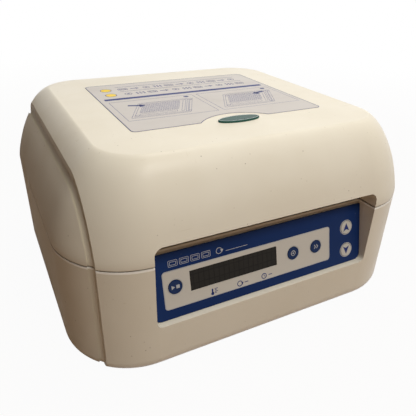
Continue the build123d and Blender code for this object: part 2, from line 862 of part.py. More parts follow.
with BuildPart() as idler_bushes:
    with BuildSketch(Plane.XY.offset(mech_top - idler_bush_drop)):
        with Locations(*idler_places):
            Circle(idler_bush / 2)
    extrude(amount=idler_bush_drop)
    with BuildSketch(Plane.XY.offset(mech_top)):
        with Locations(*idler_places):
            Circle(idler_flange / 2)
    extrude(amount=idler_flange_height)
    with BuildSketch(Plane.XY.offset(mech_top - idler_bush_drop)):
        with Locations(*idler_places):
            Circle(idler_shaft / 2 + running_gap)
    extrude(amount=idler_bush_drop + idler_flange_height, mode=Mode.SUBTRACT)
write(idler_bushes.part, "idler_bushes")

web_bottom = mech_top + idler_flange_height + fit_gap
web_top = web_bottom + idler_web_height
idler_socket_top = platform_bottom + platform_thickness / 2
for (name, _, _), (x, y) in zip(corner_signs, idler_places):
    with BuildPart() as idler:
        with BuildSketch(Plane((x, y, mech_top - idler_bush_drop))):
            Circle(idler_shaft / 2)
        extrude(amount=web_bottom - mech_top + idler_bush_drop)
        with BuildSketch(Plane((x + orbit_radius / 2, y, web_bottom))):
            Circle(idler_web / 2)
        extrude(amount=idler_web_height)
        with BuildSketch(Plane((x + orbit_radius, y, web_top))):
            Circle(idler_shaft / 2)
        extrude(amount=idler_socket_top - fit_gap - web_top)
    write(idler.part, f"idler_{name}")

# ================================================================ heated platform
platform_x = orbit_radius     # at rest the drive pin stands to the right of its shaft
slot_depth = clamp_depth - clamp_reach + clamp_travel + fit_gap
rib_face = clamp_rib / 2


def clamp_centre(x_sign, y_sign):
    """Centre of a clamp's plan at rest, from the platform's own centre."""
    return (
        x_sign * nest_x + y_sign * clamp_stagger,
        y_sign * (rib_face + clamp_reach - clamp_depth / 2),
    )


with BuildPart() as platform:
    with BuildSketch(Plane((platform_x, chamber_y, platform_bottom))):
        RectangleRounded(platform_width, platform_depth, platform_corner)
    extrude(amount=platform_thickness)
    # Bosses under the plate for the drive bearing and the idler pins.
    with BuildSketch(Plane((platform_x, chamber_y, platform_bottom - boss_drop))):
        Circle(bearing_outer / 2 + bearing_wall)
        with GridLocations(2 * idler_x, 2 * idler_y, 2, 2):
            Circle(idler_web / 2)
    extrude(amount=boss_drop)
    with BuildSketch(Plane((platform_x, chamber_y, platform_bottom - boss_drop))):
        Circle(bearing_outer / 2 + running_gap)
    extrude(amount=bearing_height + fit_gap, mode=Mode.SUBTRACT)
    with BuildSketch(Plane((platform_x, chamber_y, platform_bottom - boss_drop))):
        with GridLocations(2 * idler_x, 2 * idler_y, 2, 2):
            Circle(idler_shaft / 2 + running_gap)
    extrude(amount=idler_socket_top - platform_bottom + boss_drop, mode=Mode.SUBTRACT)
write(platform.part, "platform")

# The frame on the platform fences four nests; its middle rib holds the clamps in slots.
with BuildPart() as nest_frame:
    with BuildSketch(Plane((platform_x, chamber_y, nest_floor))):
        RectangleRounded(platform_width, platform_depth, platform_corner)
        with GridLocations(2 * nest_x, 2 * nest_y, 2, 2):
            RectangleRounded(nest_length, nest_width, nest_corner, mode=Mode.SUBTRACT)
        for _, x_sign, y_sign in corner_signs:
            with Locations((
                x_sign * nest_x + y_sign * clamp_stagger,
                y_sign * (rib_face - slot_depth / 2),
            )):
                Rectangle(clamp_length + 2 * fit_gap, slot_depth, mode=Mode.SUBTRACT)
    extrude(amount=fence_height)
    # Finger openings in the outer fence beside each nest.
    with BuildSketch(Plane((platform_x, chamber_y, nest_floor + finger_sill))):
        with GridLocations(platform_width, 2 * nest_y, 2, 2):
            Rectangle(4 * nest_fence, finger_opening)
    extrude(amount=fence_height, mode=Mode.SUBTRACT)
write(nest_frame.part, "nest_frame")

with BuildPart() as platform_bearing:
    with BuildSketch(Plane((platform_x, chamber_y, platform_bottom - boss_drop))):
        Circle(bearing_outer / 2)
        Circle(drive_pin / 2 + running_gap, mode=Mode.SUBTRACT)
    extrude(amount=bearing_height)
write(platform_bearing.part, "platform_bearing")

with BuildPart() as heater_mat:
    with BuildSketch(Plane((platform_x, chamber_y, platform_bottom))):
        RectangleRounded(
            platform_width - 2 * heater_margin, platform_depth - 2 * heater_margin, heater_corner
        )
        Circle(bearing_outer / 2 + bearing_wall + fit_gap, mode=Mode.SUBTRACT)
        with GridLocations(2 * idler_x, 2 * idler_y, 2, 2):
            Circle(idler_web / 2 + fit_gap, mode=Mode.SUBTRACT)
    extrude(amount=-heater_thickness)
write(heater_mat.part, "heater_mat")

for name, x_sign, y_sign in corner_signs:
    clamp_x, clamp_y = clamp_centre(x_sign, y_sign)
    with BuildPart() as clamp:
        with Locations((
            platform_x + clamp_x, chamber_y + clamp_y, nest_floor + fit_gap + clamp_height / 2
        )):
            Box(clamp_length, clamp_depth, clamp_height)
        nest_side = clamp.faces().sort_by(Axis.Y)[-1 if y_sign > 0 else 0]
        chamfer(nest_side.edges().sort_by(Axis.Z)[-1], clamp_lead)
    write(clamp.part, f"plate_clamp_{name}")

# ================================================================ lid interior
def between_y(form, low, high):
    """The part of a form between two planes across the housing."""
    with BuildPart() as slab:
        add(form)
        with Locations((0, (low + high) / 2, lid_top / 2)):
            Box(2 * body_width, high - low, 2 * lid_top, mode=Mode.INTERSECT)
    return slab.part


liner_hollow = between_y(
    lid_form(liner_inset + liner_wall, liner_top_drop + liner_wall),
    liner_front + liner_wall,
    liner_back - liner_wall,
)
with BuildPart() as flange:
    add(between_y(lid_form(cavity_inset + fit_gap, cavity_inset), liner_front, liner_back))
    with Locations((0, 0, liner_rim_z + liner_flange / 2)):
        Box(2 * body_width, 2 * body_depth, liner_flange, mode=Mode.INTERSECT)
with BuildPart() as lid_liner:
    add(between_y(lid_form(liner_inset, liner_top_drop), liner_front, liner_back))
    add(liner_hollow, mode=Mode.SUBTRACT)
    with Locations((0, 0, liner_rim_z / 2)):
        Box(2 * body_width, 2 * body_depth, liner_rim_z, mode=Mode.SUBTRACT)
    add(flange.part)
    with BuildSketch(Plane((0, chamber_y, liner_rim_z))):
        RectangleRounded(pan_width + 2 * rim_ledge, pan_depth + 2 * rim_ledge, seal_corner - pan_wall)
    extrude(amount=liner_flange, mode=Mode.SUBTRACT)
write(lid_liner.part, "lid_liner")

liner_ceiling = lid_top - liner_top_drop - liner_wall
with BuildPart() as lid_heater:
    with BuildSketch(Plane((0, chamber_y, liner_ceiling))):
        RectangleRounded(
            body_width - 2 * lid_heater_side, body_depth - 2 * lid_heater_end, lid_heater_corner
        )
    extrude(amount=-lid_heater_thickness)
write(lid_heater.part, "lid_heater")

liner_top = lid_top - liner_top_drop
with BuildPart() as lid_insulation:
    with BuildSketch(Plane((0, chamber_y, liner_top))):
        RectangleRounded(
            body_width - 2 * insulation_side, body_depth - 2 * insulation_end, insulation_corner
        )
    extrude(amount=lid_top - cavity_inset - 2 * fit_gap - liner_top)
write(lid_insulation.part, "lid_insulation")

gasket_bottom = deck_top + pan_wall + fit_gap
with BuildPart() as lid_gasket:
    with BuildSketch(Plane((0, chamber_y, gasket_bottom))):
        gasket_in = pan_wall + rim_ledge
        gasket_out = gasket_in + gasket_width
        RectangleRounded(pan_width + 2 * gasket_out, pan_depth + 2 * gasket_out, seal_corner + gasket_width)
        RectangleRounded(
            pan_width + 2 * gasket_in, pan_depth + 2 * gasket_in, seal_corner, mode=Mode.SUBTRACT
        )
    extrude(amount=liner_rim_z - gasket_bottom)
write(lid_gasket.part, "lid_gasket")

# The lid switch: a sensor on the deck under a magnet on the lid liner's rim.
with BuildPart() as lid_sensor:
    with Locations((sensor_place[0], sensor_place[1], deck_top + sensor_height / 2)):
        Box(*sensor_size, sensor_height)
write(lid_sensor.part, "lid_sensor")
magnet_bottom = deck_top + sensor_height + 2 * fit_gap
with BuildPart() as lid_magnet:
    with BuildSketch(Plane((*sensor_place, magnet_bottom))):
        Circle(magnet_diameter / 2)
    extrude(amount=liner_rim_z - magnet_bottom)
write(lid_magnet.part, "lid_magnet")

# ================================================================ hinges
knuckle_radius = knuckle_diameter / 2
leaf_back = back_y - cavity_inset - fit_gap
lid_leaf_back = hinge_y - lid_leaf_set


def knuckles(places, width, x):
    """Bored barrels on the hinge line at places along X from the hinge's middle."""
    with BuildPart() as barrels:
        for place in places:
            with BuildSketch(Plane.YZ.offset(x + place - width / 2)):
                with Locations((hinge_y, hinge_z)):
                    Circle(knuckle_radius)
            extrude(amount=width)
    return barrels.part


for side_name, side in (("left", -1), ("right", 1)):
    x = side * hinge_x
    outer_place = (middle_knuckle + outer_knuckle) / 2 + knuckle_gap
    with BuildPart() as base_leaf:
        foot_y_middle = leaf_back - hinge_foot_length / 2
        with Locations((x, foot_y_middle, deck_top + leaf_thickness / 2)):
            Box(middle_knuckle, hinge_foot_length, leaf_thickness)
        with Locations((x, leaf_back - leaf_thickness / 2, (deck_top + hinge_z) / 2)):
            Box(middle_knuckle, leaf_thickness, hinge_z - deck_top)
        add(knuckles([0], middle_knuckle, x))
        with BuildSketch(Plane.YZ.offset(x - knuckle_span)):
            with Locations((hinge_y, hinge_z)):
                Circle(hinge_pin / 2 + running_gap)
        extrude(amount=2 * knuckle_span, mode=Mode.SUBTRACT)
        with BuildSketch(Plane.XY.offset(deck_top)):
            with Locations(*[p for p in hinge_screw_places if p[0] * side > 0]):
                Circle(screw_shank / 2 + screw_clearance)
        extrude(amount=leaf_thickness, mode=Mode.SUBTRACT)
    write(base_leaf.part, f"base_hinge_{side_name}")

    with BuildPart() as lid_leaf:
        with Locations((
            x, lid_leaf_back - leaf_thickness / 2, hinge_z + knuckle_radius + lid_leaf_height / 2
        )):
            Box(knuckle_span, leaf_thickness, lid_leaf_height)
        for place in (-outer_place, outer_place):
            with Locations((
                x + place, (lid_leaf_back - leaf_thickness + hinge_y) / 2, hinge_z + knuckle_radius / 2
            )):
                Box(outer_knuckle, hinge_y - lid_leaf_back + leaf_thickness, knuckle_radius)
        add(knuckles([-outer_place, outer_place], outer_knuckle, x))
        with BuildSketch(Plane.YZ.offset(x - knuckle_span)):
            with Locations((hinge_y, hinge_z)):
                Circle(hinge_pin / 2 + running_gap)
        extrude(amount=2 * knuckle_span, mode=Mode.SUBTRACT)
    write(lid_leaf.part, f"lid_hinge_{side_name}")

with BuildPart() as hinge_pins:
    for side in (-1, 1):
        with BuildSketch(Plane.YZ.offset(side * hinge_x - knuckle_span / 2)):
            with Locations((hinge_y, hinge_z)):
                Circle(hinge_pin / 2)
        extrude(amount=knuckle_span)
write(hinge_pins.part, "hinge_pins")

write(
    screws(hinge_screw_places, deck_top + leaf_thickness, leaf_thickness + deck_thickness + 1),
    "hinge_screws",
)

# ================================================================ label and badge
with BuildPart() as lid_label:
    with BuildSketch(Plane.XY.offset(lid_top)) as film:
        with Locations((0, (label_front + label_back) / 2)):
            RectangleRounded(label_width, label_back - label_front, label_corner)
        with BuildLine():
            arch = ThreePointArc(
                (-label_arch_half, label_front),
                (0, label_front + label_arch_depth),
                (label_arch_half, label_front),
            )
            Polyline(
                arch @ 1,
                (label_arch_half, label_front - label_cut_past),
                (-label_arch_half, label_front - label_cut_past),
                arch @ 0,
            )
        make_face(mode=Mode.SUBTRACT)
    extrude(amount=label_thickness)
write(lid_label.part, "lid_label")

with BuildPart() as badge:
    with BuildSketch(Plane.XY.offset(lid_top)):
        with Locations(badge_centre):
            Ellipse(badge_size[0] / 2, badge_size[1] / 2)
    extrude(amount=badge_height)
    chamfer(badge.faces().sort_by(Axis.Z)[-1].edges(), badge_bevel)
write(badge.part, "badge")

# ================================================================ power entry and electronics
inlet_set, rocker_set, fuse_set = -28.0, 4.0, 30.0        # from the window's middle
inlet_x = rear_window_x + inlet_set
rocker_x = rear_window_x + rocker_set
fuse_x = rear_window_x + fuse_set


def through_back(outline, x, depth_from, depth_to, radius=1.0):
    """A round-cornered block along Y behind the housing's back face, between two depths."""
    with BuildPart() as block:
        with BuildSketch(Plane.XZ.offset(-back_y + depth_from)):
            with Locations((x, rear_window_z)):
                RectangleRounded(*outline, radius)
        extrude(amount=depth_to - depth_from)
    return block.part


panel_front = cavity_inset
panel_back = cavity_inset + rear_panel_thickness
with BuildPart() as rear_panel:
    add(through_back(
        (rear_window[0] + 2 * rear_panel_margin, rear_window[1] + 2 * rear_panel_margin),
        rear_window_x, panel_front, panel_back, 2,
    ))
    for outline, x in ((inlet_body, inlet_x), (rocker_body, rocker_x)):
        grown = (outline[0] + 2 * film_gap, outline[1] + 2 * film_gap)
        add(through_back(grown, x, panel_front, panel_back), mode=Mode.SUBTRACT)
    with BuildSketch(Plane.XZ.offset(-back_y + panel_front)):
        with Locations((fuse_x, rear_window_z)):
            Circle(fuse_body / 2 + film_gap)
    extrude(amount=rear_panel_thickness, mode=Mode.SUBTRACT)
write(rear_panel.part, "rear_panel")

with BuildPart() as power_inlet:
    add(through_back(inlet_flange, inlet_x, panel_front - flange_thickness, panel_front, inlet_corner))
    add(through_back(inlet_body, inlet_x, panel_front, panel_front + inlet_length))
    add(
        through_back(inlet_socket, inlet_x, panel_front - flange_thickness, panel_front + socket_depth),
        mode=Mode.SUBTRACT,
    )
    # The three flat pins inside the socket.
    for pin_x, pin_z in inlet_pin_places:
        with BuildSketch(Plane.XZ.offset(-back_y + panel_front)):
            with Locations((inlet_x + pin_x, rear_window_z + pin_z)):
                Rectangle(*inlet_pin)
        extrude(amount=socket_depth)
write(power_inlet.part, "power_inlet")

rocker_pivot_depth = panel_front + rocker_sink
with BuildPart() as switch_frame:
    add(
        through_back(
            rocker_flange, rocker_x, panel_front - flange_thickness, panel_front, rocker_corner
        )
    )
    add(through_back(rocker_body, rocker_x, panel_front, panel_front + rocker_length))
    add(
        through_back(
            (rocker_width + 2 * fit_gap, 2 * (rocker_radius + fit_gap)),
            rocker_x,
            panel_front - flange_thickness,
            panel_front + rocker_length - rocker_floor,
            rocker_well_corner,
        ),
        mode=Mode.SUBTRACT,
    )
write(switch_frame.part, "switch_frame")

with BuildPart() as power_rocker:
    # A drum on the pivot with two flats that meet on its middle line, tilted to the off side.
    rocker_plane = Plane(
        origin=(rocker_x - rocker_width / 2, back_y - rocker_pivot_depth, rear_window_z),
        x_dir=(0, 1, 0),
        z_dir=(1, 0, 0),
    )
    with BuildSketch(rocker_plane):
        Circle(rocker_radius)
        with Locations(Location((0, 0, 0), -rocker_tilt)):
            with BuildLine():
                Polyline(
                    (rocker_face, 0),
                    (rocker_face + rocker_radius * tan(radians(rocker_tilt)), rocker_radius + 2),
                    (2 * rocker_radius, rocker_radius + 2),
                    (2 * rocker_radius, -rocker_radius - 2),
                    (rocker_face + rocker_radius * tan(radians(rocker_tilt)), -rocker_radius - 2),
                    close=True,
                )
            make_face(mode=Mode.SUBTRACT)
    extrude(amount=rocker_width)
write(power_rocker.part, "power_rocker")

with BuildPart() as fuse_holder:
    with BuildSketch(Plane.XZ.offset(-back_y + panel_front)):
        with Locations((fuse_x, rear_window_z)):
            Circle(fuse_cap / 2)
    extrude(amount=-flange_thickness)
    with BuildSketch(Plane.XZ.offset(-back_y + panel_front)):
        with Locations((fuse_x, rear_window_z)):
            Circle(fuse_body / 2)
    extrude(amount=fuse_length)
    with BuildSketch(Plane.XZ.offset(-back_y + panel_front - flange_thickness)):
        with Locations((fuse_x, rear_window_z)):
            Rectangle(fuse_slot[0], fuse_slot[1])
    extrude(amount=fuse_slot[2], mode=Mode.SUBTRACT)
write(fuse_holder.part, "fuse_holder")

with BuildPart() as power_supply:
    with Locations((-supply_x, chamber_y, plate_under + supply_size[2] / 2)):
        Box(*supply_size)
    chamfer(power_supply.edges().filter_by(Axis.Y).group_by(Axis.Z)[-1], supply_bevel)
    with BuildSketch(Plane((-supply_x, chamber_y, plate_under + supply_size[2]))):
        with GridLocations(0, supply_slot_pitch, 1, supply_slots):
            Rectangle(supply_size[0] - 2 * supply_slot_end, supply_slot_width)
    extrude(amount=-supply_slot_depth, mode=Mode.SUBTRACT)
write(power_supply.part, "power_supply")

board_z = plate_under + board_stand
board_corners = [
    (
        supply_x + x * (board_size[0] / 2 - board_edge),
        chamber_y + y * (board_size[1] / 2 - board_edge),
    )
    for _, x, y in corner_signs
]
with BuildPart() as board_standoffs:
    with BuildSketch(Plane.XY.offset(plate_under)):
        with Locations(*board_corners):
            RegularPolygon(standoff_diameter / 2, 6)
    extrude(amount=board_stand)
write(board_standoffs.part, "board_standoffs")

sink_place = sink_size[1] / 2 + sink_end - board_size[1] / 2
with BuildPart() as control_board:
    with Locations((supply_x, chamber_y, board_z + board_thickness / 2)):
        Box(board_size[0], board_size[1], board_thickness)
    # Finned heat sink, relays and terminal block.
    with BuildSketch(Plane((supply_x, chamber_y, board_z + board_thickness))):
        with Locations((0, sink_place)):
            with GridLocations(0, sink_pitch, 1, sink_fins):
                Rectangle(sink_size[0], sink_fin)
    extrude(amount=sink_fin_height)
    with BuildSketch(Plane((supply_x, chamber_y, board_z + board_thickness))):
        with Locations((0, sink_place)):
            Rectangle(sink_size[0], sink_size[1])
        with GridLocations(relay_size[0] + board_edge, 0, 2, 1):
            Rectangle(*relay_size)
        with Locations((0, -sink_place + terminal_set)):
            Rectangle(*terminal_size)
    extrude(amount=sink_size[2])
write(control_board.part, "control_board")
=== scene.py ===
# %% [markdown]
# # A bench thermal mixer, dressed for its picture
# A thermal mixer warms and orbits microplates under a hinged lid. Its CAD model is already built from
# separate solids, so this lesson loads those solids, gives every one of them a finish of its own, and adds
# what is printed or inked on the real machine: the label on the lid, the symbols of the keys, the marks of
# the switch. Everything is in metres, in the frame of the CAD model.

import json
import math

import bmesh
import bpy
from mathutils import Matrix, Vector


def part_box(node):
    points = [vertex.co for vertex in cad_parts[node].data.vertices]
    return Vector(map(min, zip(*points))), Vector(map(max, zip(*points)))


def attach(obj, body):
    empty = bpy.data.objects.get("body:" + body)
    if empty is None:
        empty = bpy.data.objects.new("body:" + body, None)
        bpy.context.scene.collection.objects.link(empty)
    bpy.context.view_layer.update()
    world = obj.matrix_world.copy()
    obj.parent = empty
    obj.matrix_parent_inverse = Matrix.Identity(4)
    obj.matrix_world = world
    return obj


MM = 0.001
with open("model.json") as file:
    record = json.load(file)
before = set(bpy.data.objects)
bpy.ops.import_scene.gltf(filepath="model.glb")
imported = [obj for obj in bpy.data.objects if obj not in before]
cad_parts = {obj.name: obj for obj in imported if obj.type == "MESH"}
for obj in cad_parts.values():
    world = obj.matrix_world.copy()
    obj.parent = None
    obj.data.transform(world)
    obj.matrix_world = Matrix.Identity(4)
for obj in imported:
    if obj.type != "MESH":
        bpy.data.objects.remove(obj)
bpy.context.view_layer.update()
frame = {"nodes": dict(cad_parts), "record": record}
nodes = frame["nodes"]
print("solids loaded:", len(nodes))

# %% [markdown]
# ## Camera
# A camera could be aimed by hand until the picture looks right, or by its measured place and lens. The
# machine stands a little left of the camera's axis and is seen from above, close enough for a strong
# perspective, so place, turn and focal length are all set as numbers.

# %% Camera
camera_data = bpy.data.cameras.new("bench_camera")
camera_data.sensor_width = 36
camera_data.lens = 38.12
camera_data.clip_start = 0.01
camera = bpy.data.objects.new("bench_camera", camera_data)
bpy.context.scene.collection.objects.link(camera)
camera.location = (-0.17284, -0.35484, 0.2671)
camera.rotation_euler = [math.radians(turn) for turn in (61.293, -1.356, -27.114)]
bpy.context.scene.camera = camera
print("camera height:", camera.location.z)

# %% [markdown]
# ## Light
# Moulded plastic shows its form by slow changes of light, so the lamps are large and soft. A broad lamp
# overhead makes the lid the brightest face, a second one lights the front, and a narrow strip to the right
# draws the highlight along the lid's front edge. The left end is left to the world's weak fill. One more
# lamp behind lights the back alone: it stays out of reflections, or it would shine off the flat lid. The
# world is white only where the camera or a reflection sees it.

# %% Lamps and world
LAMP_COLOUR = (1.0, 0.985, 0.95)


def softbox(name, place, target, width, height, power):
    """A rectangular area lamp at place, facing target."""
    lamp_data = bpy.data.lights.new(name, "AREA")
    lamp_data.shape = "RECTANGLE"
    lamp_data.size = width
    lamp_data.size_y = height
    lamp_data.energy = power
    lamp_data.color = LAMP_COLOUR
    lamp = bpy.data.objects.new(name, lamp_data)
    bpy.context.scene.collection.objects.link(lamp)
    lamp.location = place
    toward = Vector(target) - Vector(place)
    lamp.rotation_euler = toward.to_track_quat("-Z", "Y").to_euler()
    return lamp


softbox("overhead_softbox", (0.27, 0.06, 1.2), (0, -0.02, 0.12), 0.8, 0.35, 6.1)
softbox("front_softbox", (0.14, -0.85, 1.05), (0.02, -0.1, 0.08), 0.5, 0.35, 9.6)
softbox("edge_strip", (0.75, -0.12, 1.15), (0, -0.1, 0.16), 0.5, 0.06, 1.6)
rear_lamp = softbox("rear_softbox", (0.65, 1.15, 0.45), (0.05, 0.1, 0.08), 0.7, 0.5, 6.0)
rear_lamp.visible_glossy = False

world = bpy.data.worlds.new("plain_room")
bpy.context.scene.world = world
world.use_nodes = True
world_tree = world.node_tree
world_tree.nodes.clear()
world_out = world_tree.nodes.new("ShaderNodeOutputWorld")
seen = world_tree.nodes.new("ShaderNodeBackground")
seen.inputs["Color"].default_value = (1, 1, 1, 1)
seen.inputs["Strength"].default_value = 1.0
fill = world_tree.nodes.new("ShaderNodeBackground")
fill.inputs["Color"].default_value = (1.0, 0.62, 0.38, 1)
fill.inputs["Strength"].default_value = 0.065
chosen = world_tree.nodes.new("ShaderNodeMixShader")


def seen_directly(tree):
    """A mask that is 1 for rays from the camera, from reflections and through glass."""
    path = tree.nodes.new("ShaderNodeLightPath")
    mirrored = tree.nodes.new("ShaderNodeMath")
    mirrored.operation = "MAXIMUM"
    tree.links.new(path.outputs["Is Camera Ray"], mirrored.inputs[0])
    tree.links.new(path.outputs["Is Glossy Ray"], mirrored.inputs[1])
    through = tree.nodes.new("ShaderNodeMath")
    through.operation = "MAXIMUM"
    tree.links.new(mirrored.outputs[0], through.inputs[0])
    tree.links.new(path.outputs["Is Transmission Ray"], through.inputs[1])
    return through.outputs[0]


world_tree.links.new(seen_directly(world_tree), chosen.inputs[0])
world_tree.links.new(fill.outputs[0], chosen.inputs[1])
world_tree.links.new(seen.outputs[0], chosen.inputs[2])
world_tree.links.new(chosen.outputs[0], world_out.inputs["Surface"])
bpy.context.scene.view_settings.view_transform = "Standard"

# %% [markdown]
# ## Floor
# The floor is a plain pale sheet. Pure white would lose the shadow that sets the machine down, and a plain
# grey would darken the picture, so the floor mixes a pale diffuse surface with a white glow for the camera
# alone. The shadow stays, paler. Far from the machine the glow takes over, so that the floor's far edge
# melts into the white world. The floor lies a hair below the feet, or the two faces would fight for the same
# place.

# %% Floor
def linked_object(name, mesh_builder):
    """An object in the scene made from a finished bmesh."""
    mesh = bpy.data.meshes.new(name)
    mesh_builder.to_mesh(mesh)
    mesh_builder.free()
    made = bpy.data.objects.new(name, mesh)
    bpy.context.scene.collection.objects.link(made)
    return made


floor_mesh = bmesh.new()
FLOOR_HALF = 6.0
FLOOR_DROP = 0.0002
GLOW_FROM, GLOW_FULL = 0.35, 1.3
GLOW_NEAR, GLOW_FAR = 0.96, 1.0
bmesh.ops.create_grid(floor_mesh, x_segments=2, y_segments=2, size=FLOOR_HALF)
bmesh.ops.translate(floor_mesh, vec=(0, 0, -FLOOR_DROP), verts=floor_mesh.verts)
floor = linked_object("floor", floor_mesh)
floor_paint = bpy.data.materials.new("floor_paint")
floor_paint.use_nodes = True
floor_tree = floor_paint.node_tree
floor_tree.nodes.clear()
floor_out = floor_tree.nodes.new("ShaderNodeOutputMaterial")
floor_matt = floor_tree.nodes.new("ShaderNodeBsdfDiffuse")
floor_matt.inputs["Color"].default_value = (0.34, 0.23, 0.15, 1)
floor_glow = floor_tree.nodes.new("ShaderNodeEmission")
floor_glow.inputs["Color"].default_value = (1, 1, 1, 1)
floor_place = floor_tree.nodes.new("ShaderNodeTexCoord")
floor_reach = floor_tree.nodes.new("ShaderNodeVectorMath")
floor_reach.operation = "LENGTH"
floor_far = floor_tree.nodes.new("ShaderNodeMapRange")
floor_far.interpolation_type = "SMOOTHSTEP"
floor_far.inputs["From Min"].default_value = GLOW_FROM
floor_far.inputs["From Max"].default_value = GLOW_FULL
floor_far.inputs["To Min"].default_value = GLOW_NEAR
floor_far.inputs["To Max"].default_value = GLOW_FAR
floor_share = floor_tree.nodes.new("ShaderNodeMath")
floor_share.operation = "MULTIPLY"
floor_tree.links.new(floor_place.outputs["Object"], floor_reach.inputs[0])
floor_tree.links.new(floor_reach.outputs["Value"], floor_far.inputs["Value"])
floor_tree.links.new(floor_far.outputs["Result"], floor_share.inputs[1])
floor_mix = floor_tree.nodes.new("ShaderNodeMixShader")
floor_tree.links.new(seen_directly(floor_tree), floor_share.inputs[0])
floor_tree.links.new(floor_share.outputs[0], floor_mix.inputs[0])
floor_tree.links.new(floor_matt.outputs[0], floor_mix.inputs[1])
floor_tree.links.new(floor_glow.outputs[0], floor_mix.inputs[2])
floor_tree.links.new(floor_mix.outputs[0], floor_out.inputs["Surface"])
floor.data.materials.append(floor_paint)
print("floor faces:", len(floor.data.polygons))

# %% [markdown]
# ## Shared effects
# Many finishes need the same few effects: the fine grain of a mould, a slow drift of tone, specks of dirt,
# short scratches. Each one could be drawn again in every material, but a node group is built once, and every
# material places it with values of its own. A group puts out only values that change over the surface.

# %% Node helpers
def socket_group(name, inputs, outputs):
    """An empty shader node group with float inputs {name: default} and float outputs."""
    tree = bpy.data.node_groups.new(name, "ShaderNodeTree")
    for label, value in inputs.items():
        socket = tree.interface.new_socket(label, in_out="INPUT", socket_type="NodeSocketFloat")
        socket.default_value = value
    for label in outputs:
        tree.interface.new_socket(label, in_out="OUTPUT", socket_type="NodeSocketFloat")
    return tree, tree.nodes.new("NodeGroupInput"), tree.nodes.new("NodeGroupOutput")


def joined(tree, source, target):
    """Links one socket to another."""
    tree.links.new(source, target)


def math_node(tree, operation, first, second):
    """A math node whose two inputs are sockets or numbers; gives its output socket."""
    node = tree.nodes.new("ShaderNodeMath")
    node.operation = operation
    for slot, value in zip(node.inputs, (first, second)):
        if isinstance(value, (int, float)):
            slot.default_value = value
        else:
            tree.links.new(value, slot)
    return node.outputs[0]


def ramp(tree, source, low, high):
    """A smooth mask: 0 where source is under low, 1 where it is over high."""
    node = tree.nodes.new("ShaderNodeMapRange")
    node.interpolation_type = "SMOOTHSTEP"
    node.inputs["From Min"].default_value = low
    node.inputs["From Max"].default_value = high
    tree.links.new(source, node.inputs["Value"])
    return node.outputs["Result"]


def noise(tree, place, scale, detail=2.0, rough=0.5):
    """A noise texture at a place; scale is a number or a socket."""
    node = tree.nodes.new("ShaderNodeTexNoise")
    node.inputs["Detail"].default_value = detail
    node.inputs["Roughness"].default_value = rough
    if isinstance(scale, (int, float)):
        node.inputs["Scale"].default_value = scale
    else:
        tree.links.new(scale, node.inputs["Scale"])
    tree.links.new(place, node.inputs["Vector"])
    return node.outputs["Fac"]


def object_place(tree):
    """The point on the object itself, in metres."""
    return tree.nodes.new("ShaderNodeTexCoord").outputs["Object"]


def stretched(tree, place, amounts):
    """A place stretched along the three axes."""
    node = tree.nodes.new("ShaderNodeMapping")
    node.inputs["Scale"].default_value = amounts
    tree.links.new(place, node.inputs["Vector"])
    return node.outputs["Vector"]


print("node helpers ready")

# %% [markdown]
# ### Moulded grain
# A mould for plastic is spark-eroded, so the part comes out with a grain of a few tenths of a millimetre,
# and the plastic cools with slow waves of tone. Two noises of very different size give both.

# %% Moulded grain
grain, grain_in, grain_out = socket_group("moulded_grain", {"Grain Scale": 2600.0}, ["Height", "Drift"])
grain_place = object_place(grain)
fine = noise(grain, grain_place, grain_in.outputs["Grain Scale"], 2.0, 0.55)
joined(grain, fine, grain_out.inputs["Height"])
drift = ramp(grain, noise(grain, grain_place, 14.0, 3.0, 0.6), 0.3, 0.7)
joined(grain, drift, grain_out.inputs["Drift"])
print("group:", grain.name)

# %% [markdown]
# ### Bench wear
# A used machine carries small dark specks, short hairline scratches and dull smears from wiping. Specks are
# the cores of Voronoi cells, kept only where a second noise allows them. Scratches are thin crests of a
# strongly stretched noise, in two directions, and also kept only in patches.

# %% Bench wear
wear, wear_in, wear_out = socket_group(
    "bench_wear", {"Speck Scale": 230.0}, ["Specks", "Scratches", "Smears"]
)
wear_place = object_place(wear)
cells = wear.nodes.new("ShaderNodeTexVoronoi")
joined(wear, wear_place, cells.inputs["Vector"])
joined(wear, wear_in.outputs["Speck Scale"], cells.inputs["Scale"])
speck_core = math_node(wear, "SUBTRACT", 1.0, ramp(wear, cells.outputs["Distance"], 0.06, 0.13))
speck_patch = ramp(wear, noise(wear, wear_place, 31.0, 3.0, 0.6), 0.48, 0.6)
cell_choice = wear.nodes.new("ShaderNodeSeparateColor")
joined(wear, cells.outputs["Color"], cell_choice.inputs["Color"])
speck_choice = ramp(wear, cell_choice.outputs["Red"], 0.55, 0.68)
specks = math_node(wear, "MULTIPLY", math_node(wear, "MULTIPLY", speck_core, speck_patch), speck_choice)
joined(wear, specks, wear_out.inputs["Specks"])
lines_along = noise(wear, stretched(wear, wear_place, (22.0, 300.0, 520.0)), 1.0, 1.0)
lines_across = noise(wear, stretched(wear, wear_place, (900.0, 90.0, 160.0)), 1.0, 1.0)
crest_along = ramp(wear, lines_along, 0.735, 0.77)
crest_across = ramp(wear, lines_across, 0.745, 0.78)
scratch_patch = ramp(wear, noise(wear, wear_place, 17.0, 2.0), 0.5, 0.62)
crests = math_node(wear, "MAXIMUM", crest_along, crest_across)
joined(wear, math_node(wear, "MULTIPLY", crests, scratch_patch), wear_out.inputs["Scratches"])
smears = ramp(wear, noise(wear, stretched(wear, wear_place, (30.0, 60.0, 75.0)), 1.0, 4.0, 0.65), 0.42, 0.74)
joined(wear, smears, wear_out.inputs["Smears"])
print("group:", wear.name)

# %% [markdown]
# ### Brushed lines
# Rolled and brushed sheet metal has long fine lines in one direction, which stretch every reflection. A
# noise pulled out along X gives the lines, as height and as a change of gloss.

